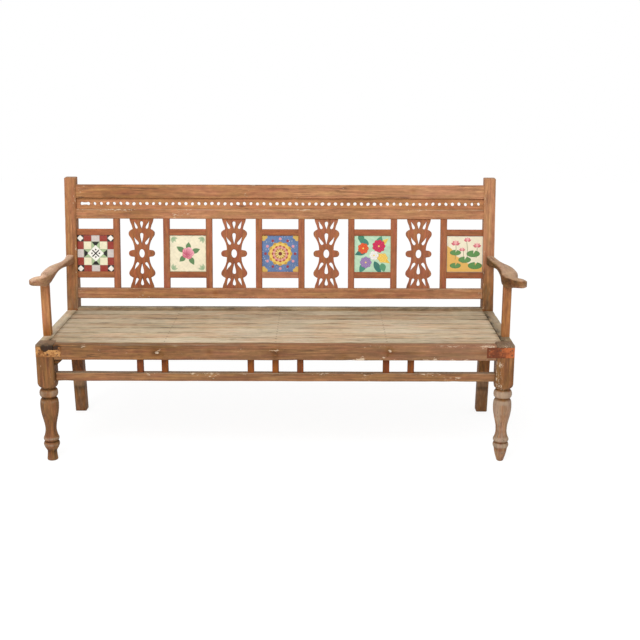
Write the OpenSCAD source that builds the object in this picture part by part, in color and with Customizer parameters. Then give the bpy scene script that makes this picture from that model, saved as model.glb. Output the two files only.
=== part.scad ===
// Garden bench in teak, with carved splats and glazed tiles in its back.
// Millimetres. X runs along the bench, +Y points to its back, +Z points up.
// The origin is on the floor under the middle of the bench's box.

/* [Overall] */
// Length over the front legs and the back posts
bench_l = 1750; // [1600:5:1900]
// Height of the seat's top above the floor
seat_h = 456; // [440:1:480]
// Height of the tops of the back posts above the floor
back_h = 990; // [970:1:1020]
// Depth from the seat frame's front face to the back posts
seat_d = 532; // [500:1:580]
// Lean of the back from upright, in degrees
rake = 7.5; // [5:0.5:10]

/* [Back posts] */
// Width of a back post
post_w = 46; // [40:1:54]
// Depth of a back post at the seat
post_seat_d = 60; // [54:1:70]
// Depth of a back post at its top
post_top_d = 42; // [40:1:54]
// Depth of a back post at the floor
post_foot_d = 46; // [36:1:56]
// How far the rear foot stands behind the post's face at the seat
foot_back = 55; // [20:1:80]

/* [Front legs] */
// Side of the square block of a front leg
leg_w = 66; // [58:1:74]
// Height of the block's lower end above the floor
block_low = 287; // [280:1:296]
// Largest radius of the turned part
turn_r = 34; // [28:0.5:36]
// Radius of the left foot
foot_r_left = 20; // [12:0.5:24]
// Radius of the left ankle, which is drawn in above its foot
ankle_r_left = 17.5; // [15:0.5:24]
// Radius of the right foot, which is worn to a point
foot_r_right = 13; // [11:0.5:24]
// Radius of the right ankle
ankle_r_right = 22; // [15:0.5:24]

/* [Seat frame] */
// Height of the front seat rail
apron_h = 57; // [50:1:70]
// Thickness of the front seat rail
apron_t = 38; // [34:1:46]
// Thickness of a side seat rail
side_t = 54; // [48:1:60]
// Height of a side seat rail
side_h = 57; // [50:1:70]
// Thickness of the rear seat rail
rear_t = 34; // [26:1:40]
// Height of the rear seat rail
rear_h = 66; // [56:1:76]
// How far the rear seat rail stands above the slats
rear_rise = 10; // [4:1:16]
// How far the rear seat rail stands behind the posts' faces
rear_set = 2; // [0:0.5:8]

/* [Seat] */
// Number of slats
slat_n = 7; // [5:1:9]
// Thickness of a slat
slat_t = 18; // [14:1:22]
// Gap between two slats
slat_gap = 4; // [2:0.5:8]
// Gap between a slat's end and the frame round it
slat_end_gap = 1; // [0.5:0.25:3]
// Width of the ledge that carries the slats' ends
ledge = 14; // [8:1:20]
// Width of a cross bearer
bearer_w = 60; // [44:1:80]
// Height of a cross bearer
bearer_h = 36; // [28:1:39]
// Distance between the cross bearers
bearer_step = 410; // [300:5:520]

/* [Back rails] */
// Thickness of the long back rails
rail_t = 32; // [26:1:36]
// How far the long back rails stand behind the posts' faces
rail_set = 3; // [0:0.5:6]
// Height of the top rail
top_rail_h = 56; // [46:1:70]
// How far the posts stand above the top rail
post_rise = 26; // [10:1:40]
// Visible height of the pierced strip
strip_h = 43; // [36:1:54]
// Thickness of the pierced strip
strip_t = 14; // [10:1:18]
// Height of the middle rail
mid_rail_h = 40; // [34:1:52]
// Height of the lower back rail
low_rail_h = 43; // [30:1:46]
// Gap between the seat's top and the lower back rail
low_rail_gap = 48; // [36:1:70]

/* [Pierced strip] */
// Diameter of the holes in the strip
dot_d = 13; // [8:0.5:16]
// Distance between the holes
dot_step = 26.5; // [22:0.5:36]
// Bare length of strip at each post
dot_margin = 14; // [8:1:24]

/* [Tiles and muntins] */
// Side of a tile
tile_w = 152; // [144:1:158]
// Thickness of a tile
tile_t = 8; // [6:0.5:10]
// Depth of the grooves that hold a tile
tile_lip = 2; // [1:0.25:4]
// How far a tile's face stands behind the posts' faces
tile_set = 11; // [10:0.5:13]
// Width of a muntin
muntin_w = 26; // [24:1:36]
// Thickness of a muntin
muntin_t = 22; // [18:1:26]
// How far a muntin stands behind the posts' faces
muntin_set = 6; // [4:0.5:8]
// Height of a tile head or tile sill
tile_rail_h = 26; // [18:1:30]
// How far a tile head or sill stands behind the muntins' faces
tile_rail_set = 1; // [0:0.25:2]
// Share of the height between the back rails that a tile shows
tile_share = 0.5238; // [0.46:0.0002:0.56]

/* [Splats] */
// Width of a splat over its lobes
splat_w = 106; // [90:1:116]
// Thickness of a splat
splat_t = 14; // [10:1:18]
// How far a splat stands behind the posts' faces
splat_set = 10; // [6:0.5:14]

/* [Arms] */
// Height of an arm's underside above the seat, over its support
arm_rise = 192; // [170:1:215]
// Thickness of an arm over its support
arm_t = 52; // [44:1:60]
// Width of an arm at its post
arm_rear_w = 31; // [30:1:40]
// Width of the left arm at its middle
arm_mid_left = 22; // [20:1:44]
// Width of the right arm at its middle
arm_mid_right = 38; // [26:1:44]
// Side of an arm support
support_w = 30; // [24:1:34]
// How far an arm support stands inside the bench's end
support_inset = 0; // [0:0.5:3]
// Depth from the seat frame's front face to the middle of an arm support
support_y = 140; // [120:1:180]
// How far the left arm's nose reaches outside the bench's end
nose_out_left = 20; // [10:1:50]
// How far the right arm's nose reaches outside the bench's end
nose_out_right = 38; // [10:1:50]
// How far the left arm's nose reaches ahead of its support's middle
nose_ahead_left = 100; // [70:1:118]
// How far the right arm's nose reaches ahead of its support's middle
nose_ahead_right = 118; // [70:1:118]
// How far the left arm's palm spreads outside the bench's end, behind its nose
palm_out_left = 1; // [-4:1:30]
// How far the right arm's palm spreads outside the bench's end, behind its nose
palm_out_right = 24; // [-4:1:30]
// How far a palm spreads over its support, towards the seat
palm_over = 9; // [4:1:12]
// How much wider a palm is than the middle of its arm
palm_spread = 15; // [8:1:20]
// How far an arm's outer edge swings out from its neck to its palm
arm_swing = 16; // [8:1:22]
// Depth of the notch between a palm and its nose
notch = 13; // [6:1:16]

/* [Lower front] */
// Height of the front stretcher
stretcher_h = 32; // [26:1:36]
// Thickness of the front stretcher
stretcher_t = 26; // [22:1:32]
// How far the front stretcher stands behind the seat frame's front face
stretcher_set = 18; // [12:1:24]
// Gap between the front stretcher and the front seat rail
stretcher_gap = 54; // [46:1:62]
// Width of a spindle
spindle_w = 24; // [16:1:32]
// Depth of a spindle
spindle_d = 18; // [12:1:22]
// Distances of the spindles from the middle of the bench
spindle_x = [0, 91, 407, 498];
// Reach of the knee block along the bench
knee_l = 27; // [18:1:34]
// Drop of the knee block
knee_h = 23; // [14:1:30]
// Thickness of the knee block
knee_t = 20; // [14:1:30]

/* [Corner plates] */
// Thickness of the corner plates
plate_t = 1.2; // [0.8:0.1:2]
// Height of the corner plates
plate_h = 39; // [30:1:42]
// Length of the brass plate on the left corner
brass_l = 92; // [80:1:110]
// Length of the copper plate on the right corner
copper_l = 102; // [90:1:120]
// How far a corner plate lies below the seat's top
plate_drop = 7; // [4:1:8]
// How far a corner plate stops short of the bench's end
plate_inset = 1; // [0:0.5:3]

/* [Joints and fastenings] */
// Clearance round a tenon, a tile or a nail
fit = 0.2; // [0.1:0.05:0.4]
// Thickness of the tenons
tenon_t = 14; // [10:1:16]
// Width of the shoulder beside a tenon
shoulder = 7; // [5:0.5:9]
// Length of the tenons in the back posts
post_tenon = 24; // [16:1:30]
// Length of the tenons in the front legs
leg_tenon = 26; // [18:1:32]
// Length of the stub tenons of the rear seat rail and the cross bearers
stub = 13; // [8:1:15]
// Length of the tongues of muntins, splats, strip, spindles and tile rails
tongue = 7; // [5:0.5:9]
// Width of the shoulder beside a tongue
tongue_shoulder = 4; // [2:0.5:5]
// Diameter of a nail's head
head_d = 7; // [5:0.5:9]
// Thickness of a nail's head
head_t = 1.2; // [0.8:0.1:2]
// Diameter of a nail's shank
shank_d = 3; // [2:0.25:4]
// Length of a nail
nail_l = 34; // [28:1:38]
// Distance of the two nails of a slat from its middle line
nail_off = 18; // [10:1:22]
// Diameter of a peg
peg_d = 10; // [8:0.5:14]
// Length of a peg
peg_l = 48; // [42:1:58]

/* [Hidden] */
$fn = 32;

brown = "#966c48";
russet = "#a05a3c";
amber = "#b87840";
grey = "#b8a084";
glaze = "#e8e0c8";
brass = "#c79348";
copper = "#a8552c";
iron = "#4a3c34";
peg_brown = "#5c4632";

// Ends of the bench, and inner faces of the posts and legs
end_x = bench_l / 2;
post_x = end_x - post_w;
leg_x = end_x - leg_w;
side_x = end_x - side_t;

// The back leans: its own height runs up the posts' faces from the seat
post_top = (back_h - seat_h) / cos(rake);
top_y = seat_d + (back_h - seat_h) * tan(rake);
top_rail_hi = post_top - post_rise;
top_rail_lo = top_rail_hi - top_rail_h;
mid_rail_hi = top_rail_lo - strip_h;
mid_rail_lo = mid_rail_hi - mid_rail_h;
low_rail_hi = low_rail_gap + low_rail_h;
infill_h = mid_rail_lo - low_rail_hi;
infill_mid = (mid_rail_lo + low_rail_hi) / 2;
strip_set = rail_set + (rail_t - strip_t) / 2;
muntin_mid = muntin_set + muntin_t / 2;

// The bays of the back: a tile bay at each post and in the middle, splats between
tile_bay = tile_w - 2 * tile_lip;
tile_bay_h = infill_h * tile_share;
bay_step = (2 * post_x - tile_bay) / 4;
last_bay = 2;

// Heights in the seat and below it
seat_low = seat_h - slat_t;
apron_lo = seat_h - apron_h;
stretcher_hi = apron_lo - stretcher_gap;
stretcher_y = stretcher_set + stretcher_t / 2;
rear_hi = seat_h + rear_rise;
slat_step = (seat_d - apron_t) / slat_n;
slat_x = side_x + ledge - slat_end_gap;
rear_y = seat_d + rear_set;

// The bench's box is centred on the origin
front_most = -plate_t - head_t;
rear_most = max(top_y + post_top_d, seat_d + foot_back + post_foot_d);
mid_y = (front_most + rear_most) / 2;
mid_x = (nose_out_right - nose_out_left) / 2;

// Overshoot of a cutting shape, and of an arm before it is cut to its post
beyond = 20;

// Smooth curve through points, as a Catmull-Rom spline whose end points are only guides
function blend(a, b, c, d, t) = 0.5 * (2 * b + (c - a) * t
  + (2 * a - 5 * b + 4 * c - d) * t * t + (3 * b - a - 3 * c + d) * t * t * t);
function curve(p, n) = [for (i = [1 : len(p) - 3], j = [0 : n - 1])
  blend(p[i - 1], p[i], p[i + 1], p[i + 2], j / n)];
function open_curve(p, n) = let (last = len(p) - 1)
  concat(curve(concat([2 * p[0] - p[1]], p, [2 * p[last] - p[last - 1]]), n), [p[last]]);
function turned_round(p) = [for (i = [len(p) - 1 : -1 : 0]) p[i]];
function across(p) = [for (q = p) [-q[0], q[1]]];
function upside(p) = [for (q = p) [q[0], -q[1]]];

module in_box() translate([-mid_x, -mid_y, 0]) children();
module in_back() translate([0, seat_d, seat_h]) rotate([-rake, 0, 0]) children();
module on_side(side) mirror([side < 0 ? 1 : 0, 0, 0]) children();
module both_ends() {
  children();
  mirror([1, 0, 0]) children();
}
module board(x0, x1, y0, y1, z0, z1) translate([x0, y0, z0]) cube([x1 - x0, y1 - y0, z1 - z0]);
// A board that reaches x0 - 1 inside its owner, grown by g to cut its mortise
module tenon(x0, x1, y0, y1, z0, z1, g = 0) board(x0 - 1, x1 + g, y0 - g, y1 + g, z0 - g, z1 + g);

// Back rails
module back_rail_tenon(lo, hi, g = 0) {
  set = rail_set + (rail_t - tenon_t) / 2;
  tenon(post_x, post_x + post_tenon, set, set + tenon_t, lo + shoulder, hi - shoulder, g);
}
module back_rail(lo, hi) {
  board(-post_x, post_x, rail_set, rail_set + rail_t, lo, hi);
  both_ends() back_rail_tenon(lo, hi);
}
module strip_board(g = 0) {
  reach = post_x + tongue + g;
  board(-reach, reach, strip_set - g, strip_set + strip_t + g,
    mid_rail_hi - tongue - g, top_rail_lo + tongue + g);
}
module top_rail() {
  color(brown) in_back() difference() {
    back_rail(top_rail_lo, top_rail_hi);
    strip_board(fit);
  }
}
module middle_rail() {
  color(brown) in_back() difference() {
    back_rail(mid_rail_lo, mid_rail_hi);
    strip_board(fit);
    infill_tongues(fit);
  }
}
module lower_back_rail() {
  color(brown) in_back() difference() {
    back_rail(low_rail_gap, low_rail_hi);
    infill_tongues(fit);
  }
}
module pierced_strip() {
  run = 2 * (post_x - dot_margin) - dot_d;
  gaps = floor(run / dot_step);
  first = -gaps * dot_step / 2;
  worn_h = dot_d * 0.7;
  color(amber) in_back() difference() {
    strip_board();
    for (i = [0 : gaps])
      translate([first + i * dot_step, strip_set - 1, (mid_rail_hi + top_rail_lo) / 2])
        rotate([-90, 0, 0]) cylinder(d = dot_d, h = strip_t + 2, $fn = 24);
    // The web between the first two holes is worn through
    board(first, first + dot_step, strip_set - 1, strip_set + strip_t + 1,
      (mid_rail_hi + top_rail_lo - worn_h) / 2, (mid_rail_hi + top_rail_lo + worn_h) / 2);
  }
}

// Tile bays, numbered -2 to 2 from the left
module tile_block(bay, g = 0) {
  half = tile_w / 2 + g;
  half_h = tile_bay_h / 2 + tile_lip + g;
  board(bay * bay_step - half, bay * bay_step + half, tile_set - g, tile_set + tile_t + g,
    infill_mid - half_h, infill_mid + half_h);
}
function head_lo() = infill_mid + tile_bay_h / 2;
function sill_lo() = infill_mid - tile_bay_h / 2 - tile_rail_h;
module tile_rail_tongue(lo, bay, g = 0) {
  reach = tile_bay / 2 + tongue + g;
  board(bay * bay_step - reach, bay * bay_step + reach, muntin_mid - tongue - g, muntin_mid + tongue + g,
    lo + tile_rail_h / 4 - g, lo + tile_rail_h * 3 / 4 + g);
}
module tile_rail(lo, bay) {
  color(russet) in_back() difference() {
    union() {
      board(bay * bay_step - tile_bay / 2, bay * bay_step + tile_bay / 2,
        muntin_set + tile_rail_set, muntin_set + muntin_t - tile_rail_set, lo, lo + tile_rail_h);
      tile_rail_tongue(lo, bay);
    }
    tile_block(bay, fit);
  }
}
module tile_bay_cuts(bay) {
  tile_block(bay, fit);
  tile_rail_tongue(head_lo(), bay, fit);
  tile_rail_tongue(sill_lo(), bay, fit);
}
module tile(bay) color(glaze) in_back() tile_block(bay);

// Muntins, numbered 0 to 7 from the left; each stands at one side of a tile bay
function muntin_bay(m) = floor((m + 1) / 2) - last_bay;
function muntin_x(m) = muntin_bay(m) * bay_step + (m % 2 == 0 ? 1 : -1) * (tile_bay + muntin_w) / 2;
module muntin_tongue(m, g = 0) {
  half = muntin_w / 2 - tongue_shoulder + g;
  board(muntin_x(m) - half, muntin_x(m) + half, muntin_mid - tongue - g, muntin_mid + tongue + g,
    low_rail_hi - tongue - g, mid_rail_lo + tongue + g);
}
module muntin(m) {
  color(russet) in_back() difference() {
    union() {
      board(muntin_x(m) - muntin_w / 2, muntin_x(m) + muntin_w / 2,
        muntin_set, muntin_set + muntin_t, low_rail_hi, mid_rail_lo);
      muntin_tongue(m);
    }
    tile_bay_cuts(muntin_bay(m));
  }
}

// Splats, numbered 0 to 3 from the left, drawn 106 wide and 286 high and stretched to fit
splat_drawn = [106, 286];
function splat_x(s) = (s - last_bay + 0.5) * bay_step;
function stretched(p) = [for (q = p)
  [q[0] * splat_w / splat_drawn[0], q[1] * infill_h / splat_drawn[1]]];
// One quarter of the outline, from the rail down to the middle: fan, lobe, waist and ear
splat_fan = open_curve([[49, 143], [46, 131], [40, 116], [36, 101]], 4);
splat_lobe = open_curve([[36, 101], [44, 96.5], [51, 90], [53, 82], [50.5, 73], [43, 62],
  [35.5, 47], [31, 31], [29.5, 15]], 4);
ear_r = 13.5;
splat_ear = [for (a = [90 : -15 : 0]) [39.5 + ear_r * cos(a), ear_r * sin(a)]];
splat_quarter = concat(splat_fan, splat_lobe, splat_ear);
splat_side = concat(splat_quarter, turned_round(upside(splat_quarter)));
// A drop from a pointed tip to a round end, bowed to one side
function drop_mid(tip, end, bow, s) = let (d = end - tip)
  tip + d * s + [d[1], -d[0]] / norm(d) * bow * 4 * s * (1 - s);
function drop_side(tip, end, r, bow, dir, n) = let (d = (end - tip) / norm(end - tip))
  [for (i = [0 : n]) let (s = i / n, w = 0.8 + (r - 0.8) * pow(sin(90 * s), 1.4))
    drop_mid(tip, end, bow, s) + [d[1], -d[0]] * w * dir];
function drop(tip, end, r, bow = 0, n = 7) = let (d = end - tip, a = atan2(d[1], d[0]))
  concat(drop_side(tip, end, r, bow, 1, n),
    [for (t = [-75 : 15 : 75]) end + r * [cos(a + t), sin(a + t)]],
    turned_round(drop_side(tip, end, r, bow, -1, n)));
eye_half = [11.5, 17.5];
splat_eye = [for (a = [0 : 15 : 345]) [eye_half[0] * cos(a), eye_half[1] * sin(a)]];
// The slots of one half: lobe middle, lobe sides, fan middle, fan sides
slot_lobe_mid = drop([0, 41], [0, 77.5], 7.2);
slot_lobe_side = drop([31.5, 68], [16.5, 43.5], 6.4, -2.5);
slot_fan_mid = drop([0, 103], [0, 126], 6.6);
slot_fan_side = drop([35, 132], [19.5, 107], 6.2, -2);
module splat_slots() {
  for (p = [slot_lobe_mid, slot_fan_mid]) {
    polygon(stretched(p));
    polygon(stretched(upside(p)));
  }
  for (p = [slot_lobe_side, slot_fan_side], q = [p, upside(p)]) {
    polygon(stretched(q));
    polygon(stretched(across(q)));
  }
  polygon(stretched(splat_eye));
}
module splat_tongue(s, g = 0) {
  half = 40 * splat_w / splat_drawn[0] + g;
  board(splat_x(s) - half, splat_x(s) + half, splat_set - g, splat_set + splat_t + g,
    mid_rail_lo - 1, mid_rail_lo + tongue + g);
  board(splat_x(s) - half, splat_x(s) + half, splat_set - g, splat_set + splat_t + g,
    low_rail_hi - tongue - g, low_rail_hi + 1);
}
module splat(s) {
  color(russet) in_back() {
    translate([splat_x(s), splat_set + splat_t, infill_mid]) rotate([90, 0, 0])
      linear_extrude(splat_t) difference() {
        polygon(stretched(concat(splat_side, turned_round(across(splat_side)))));
        splat_slots();
      }
    splat_tongue(s);
  }
}
module infill_tongues(g) {
  for (m = [0 : 7]) muntin_tongue(m, g);
  for (s = [0 : 3]) splat_tongue(s, g);
}

// Tenons of the seat frame, drawn for the right side
module apron_tenon(g = 0) tenon(leg_x, leg_x + leg_tenon, (apron_t - tenon_t) / 2,
  (apron_t + tenon_t) / 2, apron_lo + shoulder, seat_h - shoulder, g);
module side_tenons(g = 0) {
  mid = (side_x + end_x) / 2;
  low = seat_h - side_h + shoulder;
  board(mid - tenon_t / 2 - g, mid + tenon_t / 2 + g, leg_w - leg_tenon - g,
    seat_d + post_tenon + g, low - g, seat_low - shoulder + g);
}
module rear_tenon(g = 0) tenon(post_x, post_x + stub, rear_y + (rear_t - tenon_t) / 2,
  rear_y + (rear_t + tenon_t) / 2, rear_hi - rear_h + shoulder, rear_hi - shoulder, g);
module stretcher_tenon(g = 0) tenon(leg_x, leg_x + leg_tenon, stretcher_y - tenon_t / 2,
  stretcher_y + tenon_t / 2, stretcher_hi - stretcher_h + shoulder, stretcher_hi - shoulder, g);

// Back posts, drawn for the right side
post_side = [[seat_d, apron_lo], [seat_d, seat_h], [top_y, back_h], [top_y + post_top_d, back_h],
  [seat_d + post_seat_d, seat_h], [seat_d + post_seat_d, apron_lo],
  [seat_d + foot_back + post_foot_d, 0], [seat_d + foot_back, 0]];
module back_post(side) {
  color(brown) on_side(side) difference() {
    translate([post_x, 0, 0]) rotate([90, 0, 90]) linear_extrude(post_w) polygon(post_side);
    in_back() {
      back_rail_tenon(top_rail_lo, top_rail_hi, fit);
      back_rail_tenon(mid_rail_lo, mid_rail_hi, fit);
      back_rail_tenon(low_rail_gap, low_rail_hi, fit);
      strip_board(fit);
      tile_bay_cuts(last_bay);
      arm_tenon(fit);
    }
    side_tenons(fit);
    rear_tenon(fit);
  }
}

// Front legs: radii and heights of the turning, from the foot to the block
function foot_line(foot_r, ankle_r) = open_curve([[foot_r - 2, 0], [foot_r, 4], [ankle_r, 34],
  [turn_r * 0.72, 52], [turn_r * 0.82, 64], [turn_r * 0.76, 75]], 4);
flare_line = open_curve([[turn_r * 0.76, 77], [turn_r * 0.86, 87], [turn_r * 0.76, 97],
  [turn_r * 0.61, 112], [turn_r * 0.59, 126], [turn_r * 0.65, 145], [turn_r * 0.84, 172],
  [turn_r * 0.97, 198], [turn_r, 216], [turn_r * 0.98, 234], [turn_r * 0.9, 246]], 4);
ring_line = open_curve([[turn_r * 0.84, 250], [turn_r * 0.93, 255], [turn_r * 0.99, 265],
  [turn_r * 0.93, 275], [turn_r * 0.82, 280]], 4);
module turning(foot_r, ankle_r) {
  rotate_extrude($fn = 48) polygon(concat([[0, 0]], foot_line(foot_r, ankle_r), flare_line,
    ring_line, [[turn_r * 0.82, block_low + 10], [0, block_low + 10]]));
}
// The block's lower end is rounded to the turning by this bowl
module block_bowl() {
  reach = leg_w * 0.75;
  rotate_extrude($fn = 48) polygon(concat([[0, block_low]],
    open_curve([[turn_r * 0.8, block_low], [leg_w * 0.5, block_low + 4], [leg_w * 0.6, block_low + 14],
      [reach, block_low + 34]], 4), [[reach, seat_h + 1], [0, seat_h + 1]]));
}
module front_leg(side, foot_r, ankle_r) {
  color(grey) on_side(side) difference() {
    union() {
      translate([leg_x + leg_w / 2, leg_w / 2, 0]) turning(foot_r, ankle_r);
      intersection() {
        board(leg_x, end_x, 0, leg_w, block_low, seat_h);
        translate([leg_x + leg_w / 2, leg_w / 2, 0]) block_bowl();
      }
    }
    apron_tenon(fit);
    side_tenons(fit);
    stretcher_tenon(fit);
    plate_nails(side, fit);
  }
}

// Seat frame
module front_seat_rail() {
  color(brown) difference() {
    union() {
      board(-leg_x, leg_x, 0, apron_t, apron_lo, seat_h);
      both_ends() apron_tenon();
    }
    for (i = [-1 : 1]) bearer_tenons(i, fit);
    for (i = [-1 : 1]) peg(i, fit);
    for (side = [-1, 1]) on_side(side) plate_nails(side, fit);
    spindle_stubs(fit);
  }
}
module rear_seat_rail() {
  color(brown) difference() {
    union() {
      board(-post_x, post_x, rear_y, rear_y + rear_t, rear_hi - rear_h, rear_hi);
      both_ends() rear_tenon();
    }
    for (i = [-1 : 1]) bearer_tenons(i, fit);
  }
}
module side_seat_rail(side) {
  color(grey) on_side(side) difference() {
    union() {
      board(side_x, end_x, leg_w, seat_d, seat_h - side_h, seat_h);
      side_tenons();
    }
    board(side_x - 1, side_x + ledge, leg_w - 1, seat_d + 1, seat_low, seat_h + 1);
    support_tenons(fit);
  }
}

// Seat slats and the bearers below them
function slat_mid(i) = apron_t + (i + 0.5) * slat_step;
function bearer_x(i) = i * bearer_step;
module nail(g = 0) {
  cylinder(d = shank_d + 2 * g, h = nail_l + g, $fn = 16);
  translate([0, 0, -g]) cylinder(d = head_d + 2 * g, h = head_t + g, $fn = 20);
}
module slat_nails(i, b, g = 0) {
  for (y = [-nail_off, nail_off])
    translate([bearer_x(b), slat_mid(i) + y, seat_h]) rotate([180, 0, 0]) nail(g);
}
module seat_slat(i) {
  half = (slat_step - slat_gap) / 2;
  color(grey) difference() {
    board(-slat_x, slat_x, slat_mid(i) - half, slat_mid(i) + half, seat_low, seat_h);
    both_ends() board(leg_x - slat_end_gap, end_x, 0, leg_w + slat_end_gap, seat_low - 1, seat_h + 1);
    for (b = [-1 : 1]) slat_nails(i, b, fit);
  }
}
module bearer_tenons(i, g = 0) {
  half = bearer_w / 2 - shoulder + g;
  board(bearer_x(i) - half, bearer_x(i) + half, apron_t - stub - g, rear_y + stub + g,
    seat_low - bearer_h + shoulder - g, seat_low - shoulder + g);
}
module seat_bearer(i) {
  color(brown) difference() {
    union() {
      board(bearer_x(i) - bearer_w / 2, bearer_x(i) + bearer_w / 2, apron_t, rear_y,
        seat_low - bearer_h, seat_low);
      bearer_tenons(i);
    }
    for (s = [0 : slat_n - 1]) slat_nails(s, i, fit);
    peg(i, fit);
  }
}
module peg(i, g = 0) {
  translate([bearer_x(i), 0, seat_low - bearer_h / 2]) rotate([-90, 0, 0]) translate([0, 0, -2 * g])
    cylinder(d = peg_d + 2 * g, h = peg_l + 3 * g, $fn = 24);
}

// Lower front
module front_stretcher() {
  color(brown) difference() {
    union() {
      board(-leg_x, leg_x, stretcher_set, stretcher_set + stretcher_t,
        stretcher_hi - stretcher_h, stretcher_hi);
      both_ends() stretcher_tenon();
    }
    spindle_stubs(fit);
  }
}
spindle_places = concat(spindle_x, [for (x = spindle_x) if (x > 0) -x]);
module spindle_stubs(g = 0) {
  half = spindle_w / 2 - tongue_shoulder + g;
  deep = spindle_d / 2 - tongue_shoulder + g;
  for (x = spindle_places)
    board(x - half, x + half, stretcher_y - deep, stretcher_y + deep,
      stretcher_hi - tongue - g, apron_lo + tongue + g);
}
module stretcher_spindles() {
  color(brown) {
    for (x = spindle_places)
      board(x - spindle_w / 2, x + spindle_w / 2, stretcher_y - spindle_d / 2,
        stretcher_y + spindle_d / 2, stretcher_hi, apron_lo);
    spindle_stubs();
  }
}
module knee_block() {
  color(brown) on_side(-1) translate([leg_x, (apron_t + knee_t) / 2, apron_lo])
    rotate([90, 0, 0]) linear_extrude(knee_t)
      polygon([[0, 0], [0, -knee_h], [-knee_l / 4, -knee_h], [-knee_l, -knee_h / 5], [-knee_l, 0]]);
}

// Arms, drawn for the right side. Stations run from the support to the post, then forward
support_x = end_x - support_inset - support_w / 2;
arm_lo = seat_h + arm_rise;
arm_rear = seat_d + (arm_lo + 16 - seat_h) * tan(rake);
rear_out = -1;
rear_in = rear_out - arm_rear_w;
palm_in = support_inset + support_w + palm_over;
// Each arm's reach out, its reach ahead, its palm's reach out, and its width at the middle
nose_left = [nose_out_left, nose_ahead_left, palm_out_left, arm_mid_left];
nose_right = [nose_out_right, nose_ahead_right, palm_out_right, arm_mid_right];
function run(f) = support_y + f * (arm_rear - support_y);
// A point of the nose's plan: its share of the way out, and of the way ahead, to the nose's tip
function tip(out, ahead, nose) = [-palm_in + out * (nose[0] + palm_in), support_y - ahead * nose[1]];
// The arm's outer edge swings from its neck to its palm, and its inner edge follows it
function arm_out(share, nose) = nose[2] - arm_swing * (1 - share);
function arm_in(share, wider, nose) = arm_out(share, nose) - nose[3] - palm_spread * wider;
// Plan: the inner edge from the post to the front, then round the nose to the outer edge
function arm_plan_inner(nose) = open_curve([[rear_in, arm_rear + beyond], [rear_in, run(1)],
  [rear_in + 1, run(0.8)], [arm_in(0.3, 0, nose), run(0.6)], [arm_in(0.75, 0.57, nose), run(0.42)],
  [arm_in(1, 1, nose), run(0.25)], [(arm_in(1, 1, nose) - palm_in) / 2, run(0.1)],
  tip(0, 0, nose), tip(0.02, 0.22, nose), tip(0.06, 0.42, nose), tip(0.17, 0.6, nose),
  tip(0.35, 0.79, nose), tip(0.6, 0.92, nose), tip(0.77, 1, nose), tip(0.9, 0.96, nose),
  tip(1, 0.86, nose), tip(1, 0.74, nose), tip(0.92, 0.63, nose), tip(0.74, 0.57, nose)], 3);
function arm_plan_outer(nose) = open_curve([[nose[2] - notch, ahead(0.5, nose)],
  [nose[2] - notch, ahead(0.43, nose)], [nose[2] - notch * 0.6, ahead(0.25, nose)],
  [nose[2] - notch * 0.15, run(0)], [nose[2], run(0.1)], [arm_out(1, nose), run(0.25)],
  [arm_out(0.75, nose), run(0.42)], [arm_out(0.3, nose), run(0.6)],
  [arm_out(0, nose) * 0.65, run(0.8)], [rear_out, run(1)], [rear_out, arm_rear + beyond]], 3);
// Side view: the underside from the front to the post, then the top back to the front
function ahead(d, nose) = support_y - d * nose[1];
function arm_side_under(nose) = open_curve([[ahead(1.1, nose), 24], [ahead(0.95, nose), 17],
  [ahead(0.76, nose), 13], [ahead(0.58, nose), 9], [ahead(0.4, nose), 3], [ahead(0.25, nose), 0],
  [run(0), 0], [run(0.06), 1], [run(0.16), 6], [run(0.3), 13], [run(0.45), 16], [run(0.62), 12],
  [run(0.8), 2], [run(1), -6], [arm_rear + beyond, -8]], 3);
function arm_side_top(nose) = open_curve([[arm_rear + beyond, arm_t * 0.63], [run(1), arm_t * 0.63],
  [run(0.8), arm_t * 0.64], [run(0.62), arm_t * 0.71], [run(0.45), arm_t * 0.83], [run(0.28), arm_t * 0.94],
  [run(0.12), arm_t], [run(0), arm_t], [ahead(0.25, nose), arm_t * 0.98], [ahead(0.5, nose), arm_t * 0.94],
  [ahead(0.72, nose), arm_t * 0.9], [ahead(0.95, nose), arm_t * 0.83], [ahead(1.1, nose), arm_t * 0.7]], 3);
module arm_tenon(g = 0) {
  mid = (arm_lo - seat_h + 12) / cos(rake);
  board(post_x + post_w / 2 - tenon_t / 2 - g, post_x + post_w / 2 + tenon_t / 2 + g,
    -1, post_tenon + g, mid - tenon_t / 2 - g, mid + tenon_t / 2 + g);
}
module support_tenons(g = 0) {
  half = support_w / 2 - shoulder + g;
  board(support_x - half, support_x + half, support_y - half, support_y + half,
    seat_h - stub - g, arm_lo + stub + g);
}
module arm(side, nose) {
  color(grey) on_side(side) {
    difference() {
      intersection() {
        translate([end_x, 0, arm_lo - beyond]) linear_extrude(arm_t + 2 * beyond)
          polygon(concat(arm_plan_inner(nose), arm_plan_outer(nose)));
        translate([post_x - beyond, 0, arm_lo]) rotate([90, 0, 90]) linear_extrude(post_w + 4 * beyond)
          polygon(concat(arm_side_under(nose), arm_side_top(nose)));
      }
      in_back() board(post_x - beyond, end_x + beyond, 0, post_seat_d + beyond, 0, post_top);
      support_tenons(fit);
    }
    in_back() arm_tenon();
  }
}
module arm_support(side) {
  color(amber) on_side(side) {
    board(support_x - support_w / 2, support_x + support_w / 2, support_y - support_w / 2,
      support_y + support_w / 2, seat_h, arm_lo);
    support_tenons();
  }
}

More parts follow.
